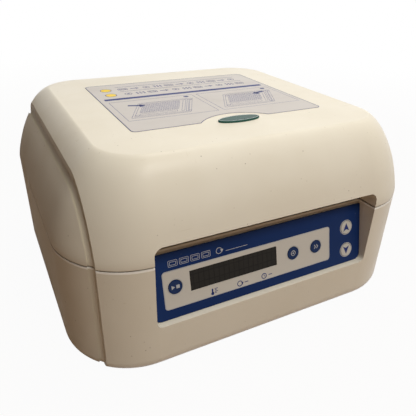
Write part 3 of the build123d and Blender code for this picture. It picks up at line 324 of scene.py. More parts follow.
# %% Brushed lines
brushed, brushed_in, brushed_out = socket_group("brushed_lines", {"Line Scale": 1.0}, ["Lines"])
brushed_place = stretched(brushed, object_place(brushed), (30.0, 2600.0, 2600.0))
brushed_lines = noise(brushed, brushed_place, brushed_in.outputs["Line Scale"], 2.0, 0.7)
joined(brushed, brushed_lines, brushed_out.inputs["Lines"])
print("group:", brushed.name)

# %% [markdown]
# ## Finishes
# Every solid names a finish, such as ivory plastic or steel. One function lays down what all of them have:
# two nearby tones mixed by the slow drift, specks and scratches over them, a gloss that changes with the
# smears, and a bump from the grain. Each finish then has its own few numbers. Where two mouldings meet in a
# seam, a dark line of painted shade is laid along the joint and a pale band of painted highlight just below
# it, and the housing's ends, which hands touch least, are duller.

# %% One function for all finishes
def placed_group(tree, group, values):
    """A group placed in a material, with its inputs set."""
    node = tree.nodes.new("ShaderNodeGroup")
    node.node_tree = group
    for label, value in values.items():
        node.inputs[label].default_value = value
    return node


def blended(tree, amount, first, second):
    """Mixes two colours by a mask; the colours are sockets or (r, g, b)."""
    node = tree.nodes.new("ShaderNodeMix")
    node.data_type = "RGBA"
    tree.links.new(amount, node.inputs["Factor"])
    for slot, value in ((node.inputs[6], first), (node.inputs[7], second)):
        if isinstance(value, tuple):
            slot.default_value = (*value, 1.0)
        else:
            tree.links.new(value, slot)
    return node.outputs[2]


def scaled(tree, source, amount):
    """A mask weakened to amount."""
    return math_node(tree, "MULTIPLY", source, amount)


def value_between(tree, mask, low, high):
    """A value that runs from low to high as the mask runs from 0 to 1."""
    node = tree.nodes.new("ShaderNodeMapRange")
    node.inputs["To Min"].default_value = low
    node.inputs["To Max"].default_value = high
    tree.links.new(mask, node.inputs["Value"])
    return node.outputs["Result"]


finishes = {}
SPECK_SHOW = 0.6
SCRATCH_SHOW = 0.35
COAT_ROUGHNESS = 0.12
END_FROM, END_FULL = 0.118, 0.138
END_DULLING = 0.45
SEAM_HEIGHT = 0.0983
# A dark line of painted shade along the seam, standing for the shade in the joint's gap, in the speck tone.
SEAM_SHADE_SHOW = 0.8
SEAM_SHADE_FROM, SEAM_SHADE_TO = 0.0003, 0.0009
# A pale band of painted highlight just below the seam, where the lower moulding's edge catches light.
PAINTED_HIGHLIGHT_SHOW = 0.9
PAINTED_HIGHLIGHT_TONE = (0.98, 0.96, 0.9)
PAINTED_HIGHLIGHT_START = (0.0004, 0.0009)
PAINTED_HIGHLIGHT_END = (0.0017, 0.0025)


def finish(
    name,
    tone,
    other_tone,
    gloss,
    grain_scale=2600.0,
    grain_depth=0.04,
    speck_scale=230.0,
    speck_and_seam_shade_tone=None,
    scratch_tone=None,
    metal=0.0,
    lines=0.0,
    coat=0.0,
    level=0.5,
    seam=None,
):
    """A material of two tones with grain, specks, scratches and smears, kept under its name.

    gloss is the roughness where it is smoothest and where it is dullest, and seam the height of a joint,
    which gets a line of painted shade with a band of painted highlight below it.
    """
    material = bpy.data.materials.new(name)
    material.use_nodes = True
    tree = material.node_tree
    surface = tree.nodes["Principled BSDF"]
    moulded = placed_group(tree, grain, {"Grain Scale": grain_scale})
    worn = placed_group(tree, wear, {"Speck Scale": speck_scale})
    colour = blended(tree, moulded.outputs["Drift"], tone, other_tone)
    if scratch_tone is not None:
        colour = blended(tree, scaled(tree, worn.outputs["Scratches"], SCRATCH_SHOW), colour, scratch_tone)
    if speck_and_seam_shade_tone is not None:
        colour = blended(tree, scaled(tree, worn.outputs["Specks"], SPECK_SHOW), colour, speck_and_seam_shade_tone)
    dullness = value_between(tree, worn.outputs["Smears"], *gloss)
    height = moulded.outputs["Height"]
    if lines > 0:
        sheet = placed_group(tree, brushed, {"Line Scale": 1.0})
        spread = math_node(tree, "SUBTRACT", sheet.outputs["Lines"], 0.5)
        dullness = math_node(tree, "ADD", dullness, scaled(tree, spread, lines))
        height = sheet.outputs["Lines"]
    if seam is not None:
        place = tree.nodes.new("ShaderNodeSeparateXYZ")
        joined(tree, object_place(tree), place.inputs["Vector"])
        ends = ramp(tree, math_node(tree, "ABSOLUTE", place.outputs["X"], 0.0), END_FROM, END_FULL)
        dullness = math_node(tree, "ADD", dullness, scaled(tree, ends, END_DULLING))
        below_seam = math_node(tree, "SUBTRACT", seam, place.outputs["Z"])
        # Painted highlight: a pale band from about half a millimetre to about two millimetres below the
        # seam.
        highlight_start = ramp(tree, below_seam, *PAINTED_HIGHLIGHT_START)
        seam_highlight = math_node(tree, "SUBTRACT", highlight_start, ramp(tree, below_seam, *PAINTED_HIGHLIGHT_END))
        colour = blended(tree, scaled(tree, seam_highlight, PAINTED_HIGHLIGHT_SHOW), colour, PAINTED_HIGHLIGHT_TONE)
        # Painted shade: a dark line within about a millimetre of the seam, in the speck tone, standing for
        # the shade in the gap.
        off_seam = math_node(tree, "ABSOLUTE", below_seam, 0.0)
        seam_shade = math_node(tree, "SUBTRACT", 1.0, ramp(tree, off_seam, SEAM_SHADE_FROM, SEAM_SHADE_TO))
        colour = blended(tree, scaled(tree, seam_shade, SEAM_SHADE_SHOW), colour, speck_and_seam_shade_tone)
    joined(tree, colour, surface.inputs["Base Color"])
    joined(tree, dullness, surface.inputs["Roughness"])
    bump = tree.nodes.new("ShaderNodeBump")
    bump.inputs["Strength"].default_value = 1.0
    bump.inputs["Distance"].default_value = grain_depth * MM
    joined(tree, height, bump.inputs["Height"])
    joined(tree, bump.outputs["Normal"], surface.inputs["Normal"])
    surface.inputs["Metallic"].default_value = metal
    surface.inputs["Coat Weight"].default_value = coat
    surface.inputs["Coat Roughness"].default_value = COAT_ROUGHNESS
    surface.inputs["Specular IOR Level"].default_value = level
    material.diffuse_color = (*tone, 1.0)
    finishes[name] = material
    return material


print("finish function ready")

# %% [markdown]
# ### Housing plastics
# The housing is a warm ivory plastic, a little yellowed, satin rather than glossy, with fine dirt in its
# grain. The liner inside the lid is a cooler, cleaner moulding.

# %% Housing plastics
finish(
    "ivory_plastic",
    (0.76, 0.715, 0.605),
    (0.73, 0.68, 0.565),
    (0.3, 0.42),
    grain_scale=2300.0,
    grain_depth=0.035,
    speck_and_seam_shade_tone=(0.2, 0.15, 0.09),
    scratch_tone=(0.58, 0.5, 0.37),
    level=0.14,
    seam=SEAM_HEIGHT,
)
finish(
    "liner_plastic",
    (0.66, 0.65, 0.61),
    (0.62, 0.61, 0.57),
    (0.4, 0.55),
    grain_depth=0.05,
    scratch_tone=(0.5, 0.49, 0.46),
)
finish(
    "black_plastic",
    (0.035, 0.035, 0.038),
    (0.05, 0.05, 0.052),
    (0.4, 0.6),
    grain_depth=0.06,
    scratch_tone=(0.12, 0.12, 0.12),
)
print("plastics:", sorted(finishes))

# %% [markdown]
# ### Printed films
# The panel is a sheet of polyester printed from behind, so its colour is even and its face slightly
# textured. The label on the lid is a thinner film of the same kind.

# %% Films
finish(
    "navy_film",
    (0.0075, 0.024, 0.1),
    (0.0095, 0.029, 0.115),
    (0.3, 0.42),
    grain_scale=3200.0,
    grain_depth=0.012,
    speck_and_seam_shade_tone=(0.1, 0.12, 0.2),
    level=0.06,
)
finish(
    "fascia_film",
    (0.55, 0.52, 0.465),
    (0.52, 0.49, 0.435),
    (0.34, 0.46),
    grain_scale=3200.0,
    grain_depth=0.012,
    speck_and_seam_shade_tone=(0.3, 0.27, 0.22),
)
finish(
    "label_film",
    (0.545, 0.51, 0.475),
    (0.52, 0.485, 0.45),
    (0.3, 0.44),
    grain_scale=1800.0,
    grain_depth=0.01,
    speck_and_seam_shade_tone=(0.3, 0.27, 0.22),
    scratch_tone=(0.5, 0.47, 0.42),
    level=0.2,
)
finish(
    "key_navy",
    (0.011, 0.027, 0.09),
    (0.015, 0.033, 0.105),
    (0.26, 0.38),
    grain_scale=3000.0,
    grain_depth=0.012,
    level=0.08,
)
finish(
    "key_light",
    (0.54, 0.52, 0.465),
    (0.51, 0.485, 0.43),
    (0.3, 0.42),
    grain_scale=3000.0,
    grain_depth=0.012,
)
finish(
    "badge_green",
    (0.008, 0.06, 0.045),
    (0.011, 0.075, 0.055),
    (0.2, 0.32),
    grain_depth=0.01,
    coat=0.08,
    level=0.15,
)
print("films:", [name for name in finishes if "film" in name])

# %% [markdown]
# ### Metals
# Rolled steel and aluminium sheet are brushed, the motor's can is lacquered black, and the bearings are
# bronze. All are metals in the shader, apart from the lacquer.

# %% Metals
finish(
    "steel",
    (0.42, 0.42, 0.41),
    (0.38, 0.38, 0.37),
    (0.38, 0.46),
    metal=1.0,
    lines=0.25,
    grain_depth=0.008,
    scratch_tone=(0.55, 0.55, 0.55),
)
finish(
    "aluminium",
    (0.4, 0.41, 0.42),
    (0.37, 0.38, 0.39),
    (0.52, 0.6),
    metal=0.7,
    lines=0.2,
    grain_depth=0.01,
    scratch_tone=(0.55, 0.55, 0.55),
    level=0.3,
)
finish(
    "bronze",
    (0.58, 0.4, 0.19),
    (0.48, 0.32, 0.15),
    (0.3, 0.48),
    metal=1.0,
    grain_depth=0.02,
)
finish(
    "motor_can",
    (0.05, 0.05, 0.055),
    (0.07, 0.07, 0.075),
    (0.3, 0.45),
    grain_depth=0.02,
    coat=0.3,
    scratch_tone=(0.3, 0.3, 0.3),
)
print("metals:", [name for name in finishes if name in ("steel", "aluminium", "bronze")])

# %% [markdown]
# ### Rubber, foam, silicone and boards
# Rubber is dull and collects dust, foam is open-celled, the silicone heater is orange-brown with a woven
# face, and a circuit board is green lacquer over copper.

# %% Soft and electrical finishes
finish(
    "black_rubber",
    (0.022, 0.022, 0.022),
    (0.04, 0.038, 0.036),
    (0.62, 0.82),
    grain_depth=0.08,
    speck_and_seam_shade_tone=(0.2, 0.19, 0.17),
)
finish(
    "seal_rubber",
    (0.1, 0.1, 0.105),
    (0.13, 0.13, 0.135),
    (0.55, 0.75),
    grain_depth=0.06,
    speck_and_seam_shade_tone=(0.3, 0.29, 0.27),
)
finish(
    "foam",
    (0.1, 0.1, 0.1),
    (0.16, 0.16, 0.16),
    (0.85, 0.95),
    grain_scale=1400.0,
    grain_depth=0.5,
)
finish(
    "heater_silicone",
    (0.62, 0.22, 0.08),
    (0.52, 0.17, 0.06),
    (0.45, 0.62),
    grain_scale=1500.0,
    grain_depth=0.1,
    scratch_tone=(0.7, 0.34, 0.18),
)
finish(
    "board_green",
    (0.016, 0.16, 0.075),
    (0.024, 0.21, 0.1),
    (0.22, 0.36),
    grain_scale=900.0,
    grain_depth=0.05,
    speck_and_seam_shade_tone=(0.7, 0.62, 0.35),
    speck_scale=420.0,
)
print("finishes so far:", len(finishes))

# %% [markdown]
# ### Dark display
# The display is switched off: a nearly black sheet behind clear plastic. Character cells show faintly, as a
# grid of slightly different dark tones, and the face reflects the room. The panel leans back, so the grid
# reads the place along X and up the panel.

# %% Dark display
LEAN_DEGREES = 13.3
display = finish(
    "display_dark",
    (0.012, 0.0105, 0.0085),
    (0.02, 0.017, 0.014),
    (0.1, 0.2),
    grain_scale=500.0,
    grain_depth=0.004,
    level=0.1,
)
display_tree = display.node_tree
cell_grid = display_tree.nodes.new("ShaderNodeTexBrick")
cell_grid.offset = 0.0
cell_grid.squash = 1.0
cell_grid.inputs["Scale"].default_value = 1.0
cell_grid.inputs["Color1"].default_value = (0.016, 0.014, 0.011, 1)
cell_grid.inputs["Color2"].default_value = (0.019, 0.0165, 0.013, 1)
cell_grid.inputs["Mortar"].default_value = (0.01, 0.0085, 0.007, 1)
cell_grid.inputs["Mortar Size"].default_value = 0.0004
cell_grid.inputs["Brick Width"].default_value = 0.0042
cell_grid.inputs["Row Height"].default_value = 0.0072
turned = display_tree.nodes.new("ShaderNodeVectorRotate")
turned.rotation_type = "X_AXIS"
turned.inputs["Angle"].default_value = math.radians(LEAN_DEGREES - 90)
joined(display_tree, object_place(display_tree), turned.inputs["Vector"])
joined(display_tree, turned.outputs["Vector"], cell_grid.inputs["Vector"])
haze = placed_group(display_tree, grain, {"Grain Scale": 240.0})
haze_amount = scaled(display_tree, haze.outputs["Height"], 0.4)
display_colour = blended(display_tree, haze_amount, cell_grid.outputs["Color"], (0.03, 0.026, 0.021))
joined(display_tree, display_colour, display_tree.nodes["Principled BSDF"].inputs["Base Color"])
print("display cells ready")

# %% [markdown]
# ## Dress the solids
# Each solid's record names its finish, so a loop can hand them out, and nothing is left in a flat colour.

# %% Dress the solids
finish_of = {part["node"]: part["material_slot"] for part in frame["record"]["subparts"]}
for node_name, solid in nodes.items():
    solid.data.materials.clear()
    solid.data.materials.append(finishes[finish_of[node_name]])
print("solids dressed:", len(finish_of))

# %% [markdown]
# ## Prints
# Ink has no thickness to speak of, yet a print that lies exactly in the film's face flickers against it. So
# every print here is a real sheet, four hundredths of a millimetre thick, that stands on its film. Outlines
# are drawn in millimetres on a flat plane. A line drawing is made of plain faces: each face is inset by the
# line's width and its middle taken away, which leaves an even line round it.

# %% Print helpers
INK = 0.04


def flat_face(drawing, outline):
    """One flat face from its corners in millimetres."""
    return drawing.faces.new([drawing.verts.new((x, y, 0)) for x, y in outline])


def rounded(drawing, centre, size, radius):
    """A flat rectangle with rounded corners."""
    x, y = centre
    w, h = size[0] / 2, size[1] / 2
    face = flat_face(drawing, [(x - w, y - h), (x + w, y - h), (x + w, y + h), (x - w, y + h)])
    made = bmesh.ops.bevel(
        drawing,
        geom=list(face.verts),
        offset=radius,
        segments=6,
        profile=0.5,
        affect="VERTICES",
        material=-1,
    )
    return made["verts"][0].link_faces[0]


def disc(drawing, centre, radius, segments=40):
    """A flat disc."""
    place = Matrix.Translation((*centre, 0))
    made = bmesh.ops.create_circle(drawing, cap_ends=True, segments=segments, radius=radius, matrix=place)
    return made["verts"][0].link_faces[0]


def outlined(drawing, faces, width):
    """Turns faces into lines of that width round them."""
    bmesh.ops.inset_individual(drawing, faces=faces, thickness=width, depth=0, use_even_offset=True)
    bmesh.ops.delete(drawing, geom=faces, context="FACES")


def stroke(drawing, start, end, width):
    """A straight line of that width."""
    a, b = Vector(start), Vector(end)
    side = Vector((a.y - b.y, b.x - a.x)).normalized() * width / 2
    return flat_face(drawing, [a - side, b - side, b + side, a + side])


def printed(drawing, name, place, body, finish_name):
    """Gives a flat drawing the thickness of ink, sets it in place and lets it ride on a body."""
    bmesh.ops.recalc_face_normals(drawing, faces=drawing.faces[:])
    for face in drawing.faces:
        if face.normal.z < 0:
            face.normal_flip()
    sheet = bmesh.ops.extrude_face_region(drawing, geom=drawing.faces[:], use_keep_orig=True)
    raised = [v for v in sheet["geom"] if isinstance(v, bmesh.types.BMVert)]
    bmesh.ops.translate(drawing, verts=raised, vec=(0, 0, INK))
    bmesh.ops.scale(drawing, verts=drawing.verts[:], vec=(MM, MM, MM))
    bmesh.ops.transform(drawing, matrix=place, verts=drawing.verts[:])
    bmesh.ops.recalc_face_normals(drawing, faces=drawing.faces[:])
    piece = linked_object(name, drawing)
    piece.data.materials.append(finishes[finish_name])
    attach(piece, body)
    print(name, "faces:", len(piece.data.polygons))
    return piece


print("print helpers ready")

# %% [markdown]
# ### Inks
# The label and the fascia are printed in dark blue, in three strengths for bars, drawings and frames, with a
# little yellow. The navy panel and its keys are printed in a pale grey. Ink is slightly uneven and a little
# duller than its film.

# %% Inks
# Tone, other tone, gloss, tone of the specks, and specular level of each ink.
ink_sheet = {
    "blue_ink": ((0.012, 0.026, 0.14), (0.02, 0.036, 0.17), (0.4, 0.55), (0.45, 0.45, 0.5), 0.12),
    "faint_blue_ink": ((0.1, 0.115, 0.26), (0.15, 0.16, 0.3), (0.4, 0.55), (0.5, 0.5, 0.5), 0.12),
    "line_blue_ink": ((0.025, 0.04, 0.17), (0.045, 0.06, 0.2), (0.4, 0.55), (0.5, 0.5, 0.5), 0.12),
    "yellow_ink": ((0.86, 0.62, 0.02), (0.78, 0.55, 0.015), (0.4, 0.55), (0.4, 0.3, 0.1), 0.3),
    "pale_ink": ((0.5, 0.5, 0.5), (0.42, 0.43, 0.45), (0.35, 0.5), (0.2, 0.22, 0.3), 0.3),
}
for ink_name, (ink_tone, ink_other, ink_gloss, ink_specks, ink_level) in ink_sheet.items():
    finish(
        ink_name,
        ink_tone,
        ink_other,
        ink_gloss,
        grain_scale=3000.0,
        grain_depth=0.01,
        speck_and_seam_shade_tone=ink_specks,
        level=ink_level,
    )
print("inks ready")

# %% [markdown]
# ### Border of the label
# The label's printed border keeps an even distance from its edge, round the arch too. Drawing that outline
# again would repeat the CAD work, so a copy of the label's own top face is merged, inset by the margin, and
# its middle taken away. What stays is the line.

# %% Label border
SAME_PLACE = 1e-6
FACING_UP = 0.99


def top_outline(node_name):
    """The upward faces of a CAD solid, copied and joined into one flat face, in millimetres at z = 0."""
    drawing = bmesh.new()
    drawing.from_mesh(nodes[node_name].data)
    bmesh.ops.remove_doubles(drawing, verts=drawing.verts[:], dist=SAME_PLACE)
    lower = [f for f in drawing.faces if f.normal.z < FACING_UP]
    bmesh.ops.delete(drawing, geom=lower, context="FACES")
    bmesh.ops.dissolve_faces(drawing, faces=drawing.faces[:])
    bmesh.ops.scale(drawing, verts=drawing.verts[:], vec=(1 / MM, 1 / MM, 0))
    return drawing


label_low, label_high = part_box("lid_label")
label_face = Matrix.Translation((0, 0, label_high.z))


def margin(drawing, width):
    """Moves a flat outline in by width and drops the strip outside it."""
    strip = bmesh.ops.inset_region(drawing, faces=drawing.faces[:], thickness=width, use_even_offset=True)
    bmesh.ops.delete(drawing, geom=strip["faces"], context="FACES")


LABEL_MARGIN = 2.4
border = top_outline("lid_label")
margin(border, LABEL_MARGIN)
outlined(border, border.faces[:], 0.55)
printed(border, "label_border", label_face, "lid", "blue_ink")
print("label size:", [round(side, 4) for side in label_high - label_low])

# %% [markdown]
# ### Bar and picture frames of the label
# A solid bar divides the label. Below it, two frames hold the pictures that show how plates are loaded, and
# each frame has an oval mark in its corner.

# %% Label frames
label_lines = bmesh.new()
rounded(label_lines, (0, 17), (158, 5.0), 0.8)
printed(label_lines, "label_bar", label_face, "lid", "blue_ink")

FRAME_LEFT, FRAME_RIGHT = (-39.8, -19.0), (41.3, -19.0)
label_frames = bmesh.new()
frame_faces = [
    rounded(label_frames, FRAME_LEFT, (76.4, 54), 0.8),
    rounded(label_frames, FRAME_RIGHT, (76.6, 54), 0.8),
]
outlined(label_frames, frame_faces, 0.35)
printed(label_frames, "label_frames", label_face, "lid", "faint_blue_ink")

label_marks = bmesh.new()
for middle in (FRAME_LEFT, FRAME_RIGHT):
    disc(label_marks, (middle[0] + 31, middle[1] + 22.5), 2.4)
mark_space = Matrix.Translation((0, -3.5, 0))
bmesh.ops.scale(label_marks, verts=label_marks.verts[:], vec=(1.0, 0.8, 1.0), space=mark_space)
printed(label_marks, "label_marks", label_face, "lid", "blue_ink")

# %% [markdown]
# ### Pictures of plate loading
# Each picture is a line drawing in slanted view: the platform in its chamber, a ribbed plate standing in its
# nest, the clamp bars beside it, and an arrow for the way the plate goes in. A slant needs no camera: the
# flat drawing is made square, then sheared.

# %% Plate pictures
def plate_picture(drawing):
    """A square drawing of the platform with a ribbed plate, to be sheared into a slanted view."""
    frames = [rounded(drawing, (0, 0), (60, 44), 2.0), rounded(drawing, (0, 0), (55, 39), 1.2)]
    frames.append(rounded(drawing, (-4, 4), (40, 26), 1.5))
    for rib in range(16):
        frames.append(rounded(drawing, (-22 + rib * 2.4, 4), (1.4, 23), 0.3))
    frames.append(rounded(drawing, (21, 1), (3.4, 34), 0.8))
    frames.append(rounded(drawing, (25.3, 0), (2.4, 37), 0.6))
    frames.append(rounded(drawing, (-4, -14), (38, 4.5), 0.8))
    for corner in (-17.5, 17.5):
        frames.append(rounded(drawing, (-25, corner * 0.9), (3.6, 3.4), 0.6))
        frames.append(disc(drawing, (28.7, corner), 1.3, 16))
    outlined(drawing, frames, 0.34)


slant = Matrix(((0.84, 0.42, 0, 0), (0, 0.86, 0, 0), (0, 0, 1, 0), (0, 0, 0, 1)))
for side_name, middle, reach in (("left", FRAME_LEFT, -1), ("right", FRAME_RIGHT, 1)):
    picture = bmesh.new()
    plate_picture(picture)
    place = Matrix.Translation((middle[0], middle[1] - 2.5, 0)) @ slant
    bmesh.ops.transform(picture, matrix=place, verts=picture.verts[:])
    printed(picture, f"plate_picture_{side_name}", label_face, "lid", "line_blue_ink")
    arrow = bmesh.new()
    tip = Vector((middle[0] + reach * 12, middle[1] + 9))
    stroke(arrow, tip + Vector((reach * 14, 4.4)), tip + Vector((reach * 4, 1.2)), 3.0)
    flat_face(arrow, [tip, tip + Vector((reach * 4.2, 5.0)), tip + Vector((reach * 5.8, -3.0))])
    printed(arrow, f"plate_arrow_{side_name}", label_face, "lid", "blue_ink")

# %% [markdown]
# ### Rows of signs
# Over the bar stand two rows of small signs. Plate, arrow, ring and wells follow each other, and each row
# starts with a yellow spot that draws the eye to it. They say nothing in words.

# %% Sign rows
ROW_HEIGHTS = (49.0, 31.5)
RULE_HEIGHTS = (41.0, 57.5)
ROW_LEFT, ROW_STEP = -53, 11.6
SPOT_X = -69
row_lines = bmesh.new()
row_fills = bmesh.new()
row_outlines = []
for row, y in enumerate(ROW_HEIGHTS):
    for step in range(11):
        x = ROW_LEFT + step * ROW_STEP
        kind = (step + 2 * row) % 4
        if kind == 0:
            row_outlines.append(rounded(row_lines, (x, y), (9.0, 6.0), 1.0))
            row_outlines.append(rounded(row_lines, (x, y), (6.2, 3.2), 0.5))
        elif kind == 1:
            stroke(row_fills, (x - 4.2, y), (x + 1.6, y), 1.3)
            flat_face(row_fills, [(x + 1.2, y - 2.4), (x + 4.4, y), (x + 1.2, y + 2.4)])
        elif kind == 2:
            row_outlines.append(disc(row_lines, (x, y), 3.4, 28))
            disc(row_fills, (x, y), 1.2, 16)
        else:
            for well in (-3.2, 0.0, 3.2):
                disc(row_fills, (x + well, y + 1.8), 1.1, 14)
                disc(row_fills, (x + well, y - 1.8), 1.1, 14)
outlined(row_lines, row_outlines, 0.5)
for y in RULE_HEIGHTS:
    stroke(row_lines, (-58, y), (70, y), 0.45)
printed(row_lines, "row_outlines", label_face, "lid", "blue_ink")
printed(row_fills, "row_signs", label_face, "lid", "line_blue_ink")

spots = bmesh.new()
for y in ROW_HEIGHTS:
    disc(spots, (SPOT_X, y), 4.6, 32)
printed(spots, "row_spots", label_face, "lid", "yellow_ink")
spot_rings = bmesh.new()
outlined(spot_rings, [disc(spot_rings, (SPOT_X, y), 5.2, 32) for y in ROW_HEIGHTS], 0.6)
printed(spot_rings, "spot_rings", label_face, "lid", "blue_ink")

# %% [markdown]
# ## Badge
# The maker's oval is left blank. It is a green enamel plate with a narrow pale rim, which a scaled disc and
# one inset give.

# %% Badge rim
badge_low, badge_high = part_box("badge")
badge_middle = (badge_low + badge_high) / 2 / MM
badge_half = (badge_high - badge_low) / 2 / MM
RIM_INSET = 0.75
rim = bmesh.new()
disc(rim, (0, 0), 1.0, 64)
bmesh.ops.scale(rim, verts=rim.verts[:], vec=(badge_half.x - RIM_INSET, badge_half.y - RIM_INSET, 1))
outlined(rim, rim.faces[:], 0.45)
badge_face = Matrix.Translation((badge_middle.x * MM, badge_middle.y * MM, badge_high.z))
printed(rim, "badge_rim", badge_face, "lid", "pale_ink")

# %% [markdown]
# ## Signs of the panel
# The panel leans back, so its prints are drawn flat and turned onto it by one matrix: X runs along the
# panel, Y up it, and Z straight out of it. Key signs ride on their keys and go down with them.

# %% The leaning plane
LEAN = math.radians(LEAN_DEGREES)
panel_foot = Vector((0, -0.134, 0.0453))
panel_up = Vector((0, math.sin(LEAN), math.cos(LEAN)))
panel_out = Vector((0, -math.cos(LEAN), math.sin(LEAN)))


def panel_place(x, height, proud=0.0):
    """The matrix that sets a flat drawing on the panel, at x and a height up it, in millimetres."""
    middle = panel_foot + Vector((x, 0, 0)) * MM + panel_up * height * MM + panel_out * proud * MM
    columns = Matrix((Vector((1, 0, 0)), panel_up, panel_out)).transposed()
    return Matrix.Translation(middle) @ columns.to_4x4()


print("panel leans", round(math.degrees(LEAN), 1), "degrees")

# %% [markdown]
# ### Lines round the fascia and the keys
# A pale line runs round the fascia, and finer ones round the three round keys and the two arrow keys. They
# are rings made by insetting a face.

# %% Panel lines
panel_lines = bmesh.new()
fascia_line = rounded(panel_lines, (-12.3, 22.8), (148.4, 29.4), 2.5)
outlined(panel_lines, [fascia_line], 0.7)
printed(panel_lines, "fascia_line", panel_place(0, 0), "base", "pale_ink")

START_SPOT, SET_SPOT, SHIFT_SPOT = (-77.4, 24.5), (24.6, 23.5), (47.4, 23.5)
UP_SPOT, DOWN_SPOT = (80, 32.6), (80, 12.3)
key_rings = bmesh.new()
rings = [disc(key_rings, spot, 6.4) for spot in (START_SPOT, SET_SPOT, SHIFT_SPOT)]
outlined(key_rings, rings, 0.35)
printed(key_rings, "key_rings", panel_place(0, 0), "base", "pale_ink")

arrow_rings = bmesh.new()
rings = [disc(arrow_rings, spot, 6.5) for spot in (UP_SPOT, DOWN_SPOT)]
outlined(arrow_rings, rings, 0.55)
printed(arrow_rings, "arrow_key_rings", panel_place(0, 0), "base", "pale_ink")

# %% [markdown]
# ### Signs on the keys
# Start and stop share a key, so it has a triangle and a square. The next key, which confirms a setting, has
# a ring with a dot, and the one that moves the cursor has two chevrons. The two pale keys have notched
# arrowheads.

# %% Key signs
KEY_PROUD = 0.35
start_sign = bmesh.new()
flat_face(start_sign, [(-3.0, -1.6), (-0.4, 0.0), (-3.0, 1.6)])
flat_face(start_sign, [(0.6, -1.3), (3.2, -1.3), (3.2, 1.3), (0.6, 1.3)])
printed(start_sign, "start_stop_sign", panel_place(*START_SPOT, KEY_PROUD), "start_stop_key", "pale_ink")

set_sign = bmesh.new()
outlined(set_sign, [disc(set_sign, (0, 0), 2.2, 32)], 0.5)
disc(set_sign, (0, 0), 0.7, 20)
printed(set_sign, "set_sign", panel_place(*SET_SPOT, KEY_PROUD), "set_key", "pale_ink")

shift_sign = bmesh.new()
for x in (-1.4, 0.8):
    lower = [(x - 0.5, -1.7), (x + 0.3, -1.7), (x + 1.3, 0)]
    upper = [(x + 0.3, 1.7), (x - 0.5, 1.7), (x + 0.5, 0)]
    flat_face(shift_sign, lower + upper)
printed(shift_sign, "shift_sign", panel_place(*SHIFT_SPOT, KEY_PROUD), "shift_key", "pale_ink")

for key_name, spot, turn in (("up_key", UP_SPOT, 1), ("down_key", DOWN_SPOT, -1)):
    arrowhead = bmesh.new()
    tip, wing, notch = 3.8 * turn, -3.3 * turn, -1.7 * turn
    flat_face(arrowhead, [(0, tip), (-3.3, wing), (0, notch), (3.3, wing)])
    printed(arrowhead, f"{key_name}_sign", panel_place(*spot, KEY_PROUD), key_name, "blue_ink")

# %% [markdown]
# ### Signs under the display
# The display shows temperature, speed and time side by side, and a small sign stands under each place: a
# thermometer, a turning arrow and a clock.

# %% Display signs
display_signs = bmesh.new()
thermometer_x, turning_x, clock_x, row = -48.9, -25.5, -3.6, 11.6
disc(display_signs, (thermometer_x, row - 1.2), 1.3, 20)
rounded(display_signs, (thermometer_x, row + 0.8), (1.2, 4.0), 0.5)
for height, reach in ((2.3, 4.4), (1.2, 3.4), (0.1, 4.4), (-1.0, 3.4)):
    stroke(display_signs, (thermometer_x + 1.8, row + height), (thermometer_x + reach, row + height), 0.5)
outlined(display_signs, [disc(display_signs, (turning_x, row), 2.4, 32)], 0.65)
turning_tip = [(turning_x + 1.1, row + 0.5), (turning_x + 3.3, row + 0.5), (turning_x + 2.2, row - 1.6)]
flat_face(display_signs, turning_tip)
stroke(display_signs, (turning_x + 4.2, row), (turning_x + 7.4, row), 0.6)
outlined(display_signs, [disc(display_signs, (clock_x, row), 2.4, 32)], 0.65)
stroke(display_signs, (clock_x, row), (clock_x, row + 1.6), 0.5)
stroke(display_signs, (clock_x, row), (clock_x + 1.2, row - 0.5), 0.5)
stroke(display_signs, (clock_x + 4.2, row), (clock_x + 7.4, row), 0.6)
printed(display_signs, "display_signs", panel_place(0, 0), "base", "blue_ink")

# %% [markdown]
# ### Sign in the panel's title place
# The panel's upper left corner would carry a name. A row of outlined plates with a turning arrow and a fine
# line fills it with something that any such machine could carry.

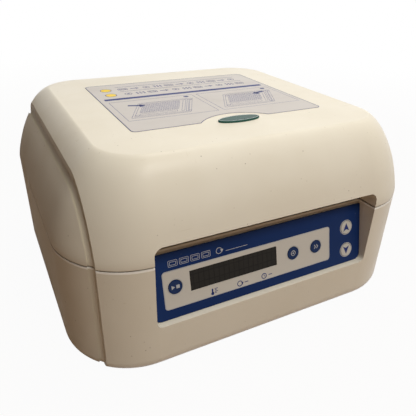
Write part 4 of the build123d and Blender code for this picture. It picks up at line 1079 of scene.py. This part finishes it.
# %% Title sign
TITLE_HEIGHT = 42.6
TITLE_LEFT, TITLE_STEP = -77.5, 8.6
title = bmesh.new()
plate_middles = [(TITLE_LEFT + plate * TITLE_STEP, TITLE_HEIGHT) for plate in range(4)]
title_plates = [rounded(title, middle, (7.2, 4.8), 0.8) for middle in plate_middles]
title_plates += [rounded(title, middle, (5.0, 2.6), 0.4) for middle in plate_middles]
outlined(title, title_plates, 0.3)
outlined(title, [disc(title, (-41, TITLE_HEIGHT), 2.5, 32)], 0.4)
flat_face(title, [(-39.9, 43.2), (-37.5, 43.2), (-38.7, 40.9)])
stroke(title, (-35.5, 41.2), (-17, 41.2), 0.3)
printed(title, "title_sign", panel_place(0, 0), "base", "pale_ink")

# %% [markdown]
# ## Marks of the mains switch
# The rocker carries the usual bar and ring for on and off. At rest its lower half is pressed flat and its
# upper half stands out, so each mark is turned to its own half.

# %% Switch marks
rocker_low, rocker_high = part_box("power_rocker")
rocker_x = (rocker_low.x + rocker_high.x) / 2
rocker_pivot = Vector((rocker_x, 0.1317, 0.042))
valley = rocker_pivot + Vector((0, 0.003573, -0.000439))
MARK_REACH = 0.0052
MARK_PROUD = 0.00002
UPPER_LEAN, LOWER_LEAN = 12.87, 1.13


def rocker_place(along, lean):
    """A flat place on one half of the rocker, by its distance from the middle line and its lean."""
    turn = math.radians(lean)
    up = Vector((0, math.sin(turn), math.cos(turn)))
    out = Vector((0, math.cos(turn), -math.sin(turn)))
    middle = valley + up * along + out * MARK_PROUD
    columns = Matrix((Vector((-1, 0, 0)), up, out)).transposed()
    return Matrix.Translation(middle) @ columns.to_4x4()


on_mark = bmesh.new()
stroke(on_mark, (0, -1.8), (0, 1.8), 0.8)
printed(on_mark, "switch_on_mark", rocker_place(MARK_REACH, UPPER_LEAN), "power_rocker", "pale_ink")
off_mark = bmesh.new()
outlined(off_mark, [disc(off_mark, (0, 0), 2.0, 32)], 0.6)
printed(off_mark, "switch_off_mark", rocker_place(-MARK_REACH, LOWER_LEAN), "power_rocker", "pale_ink")
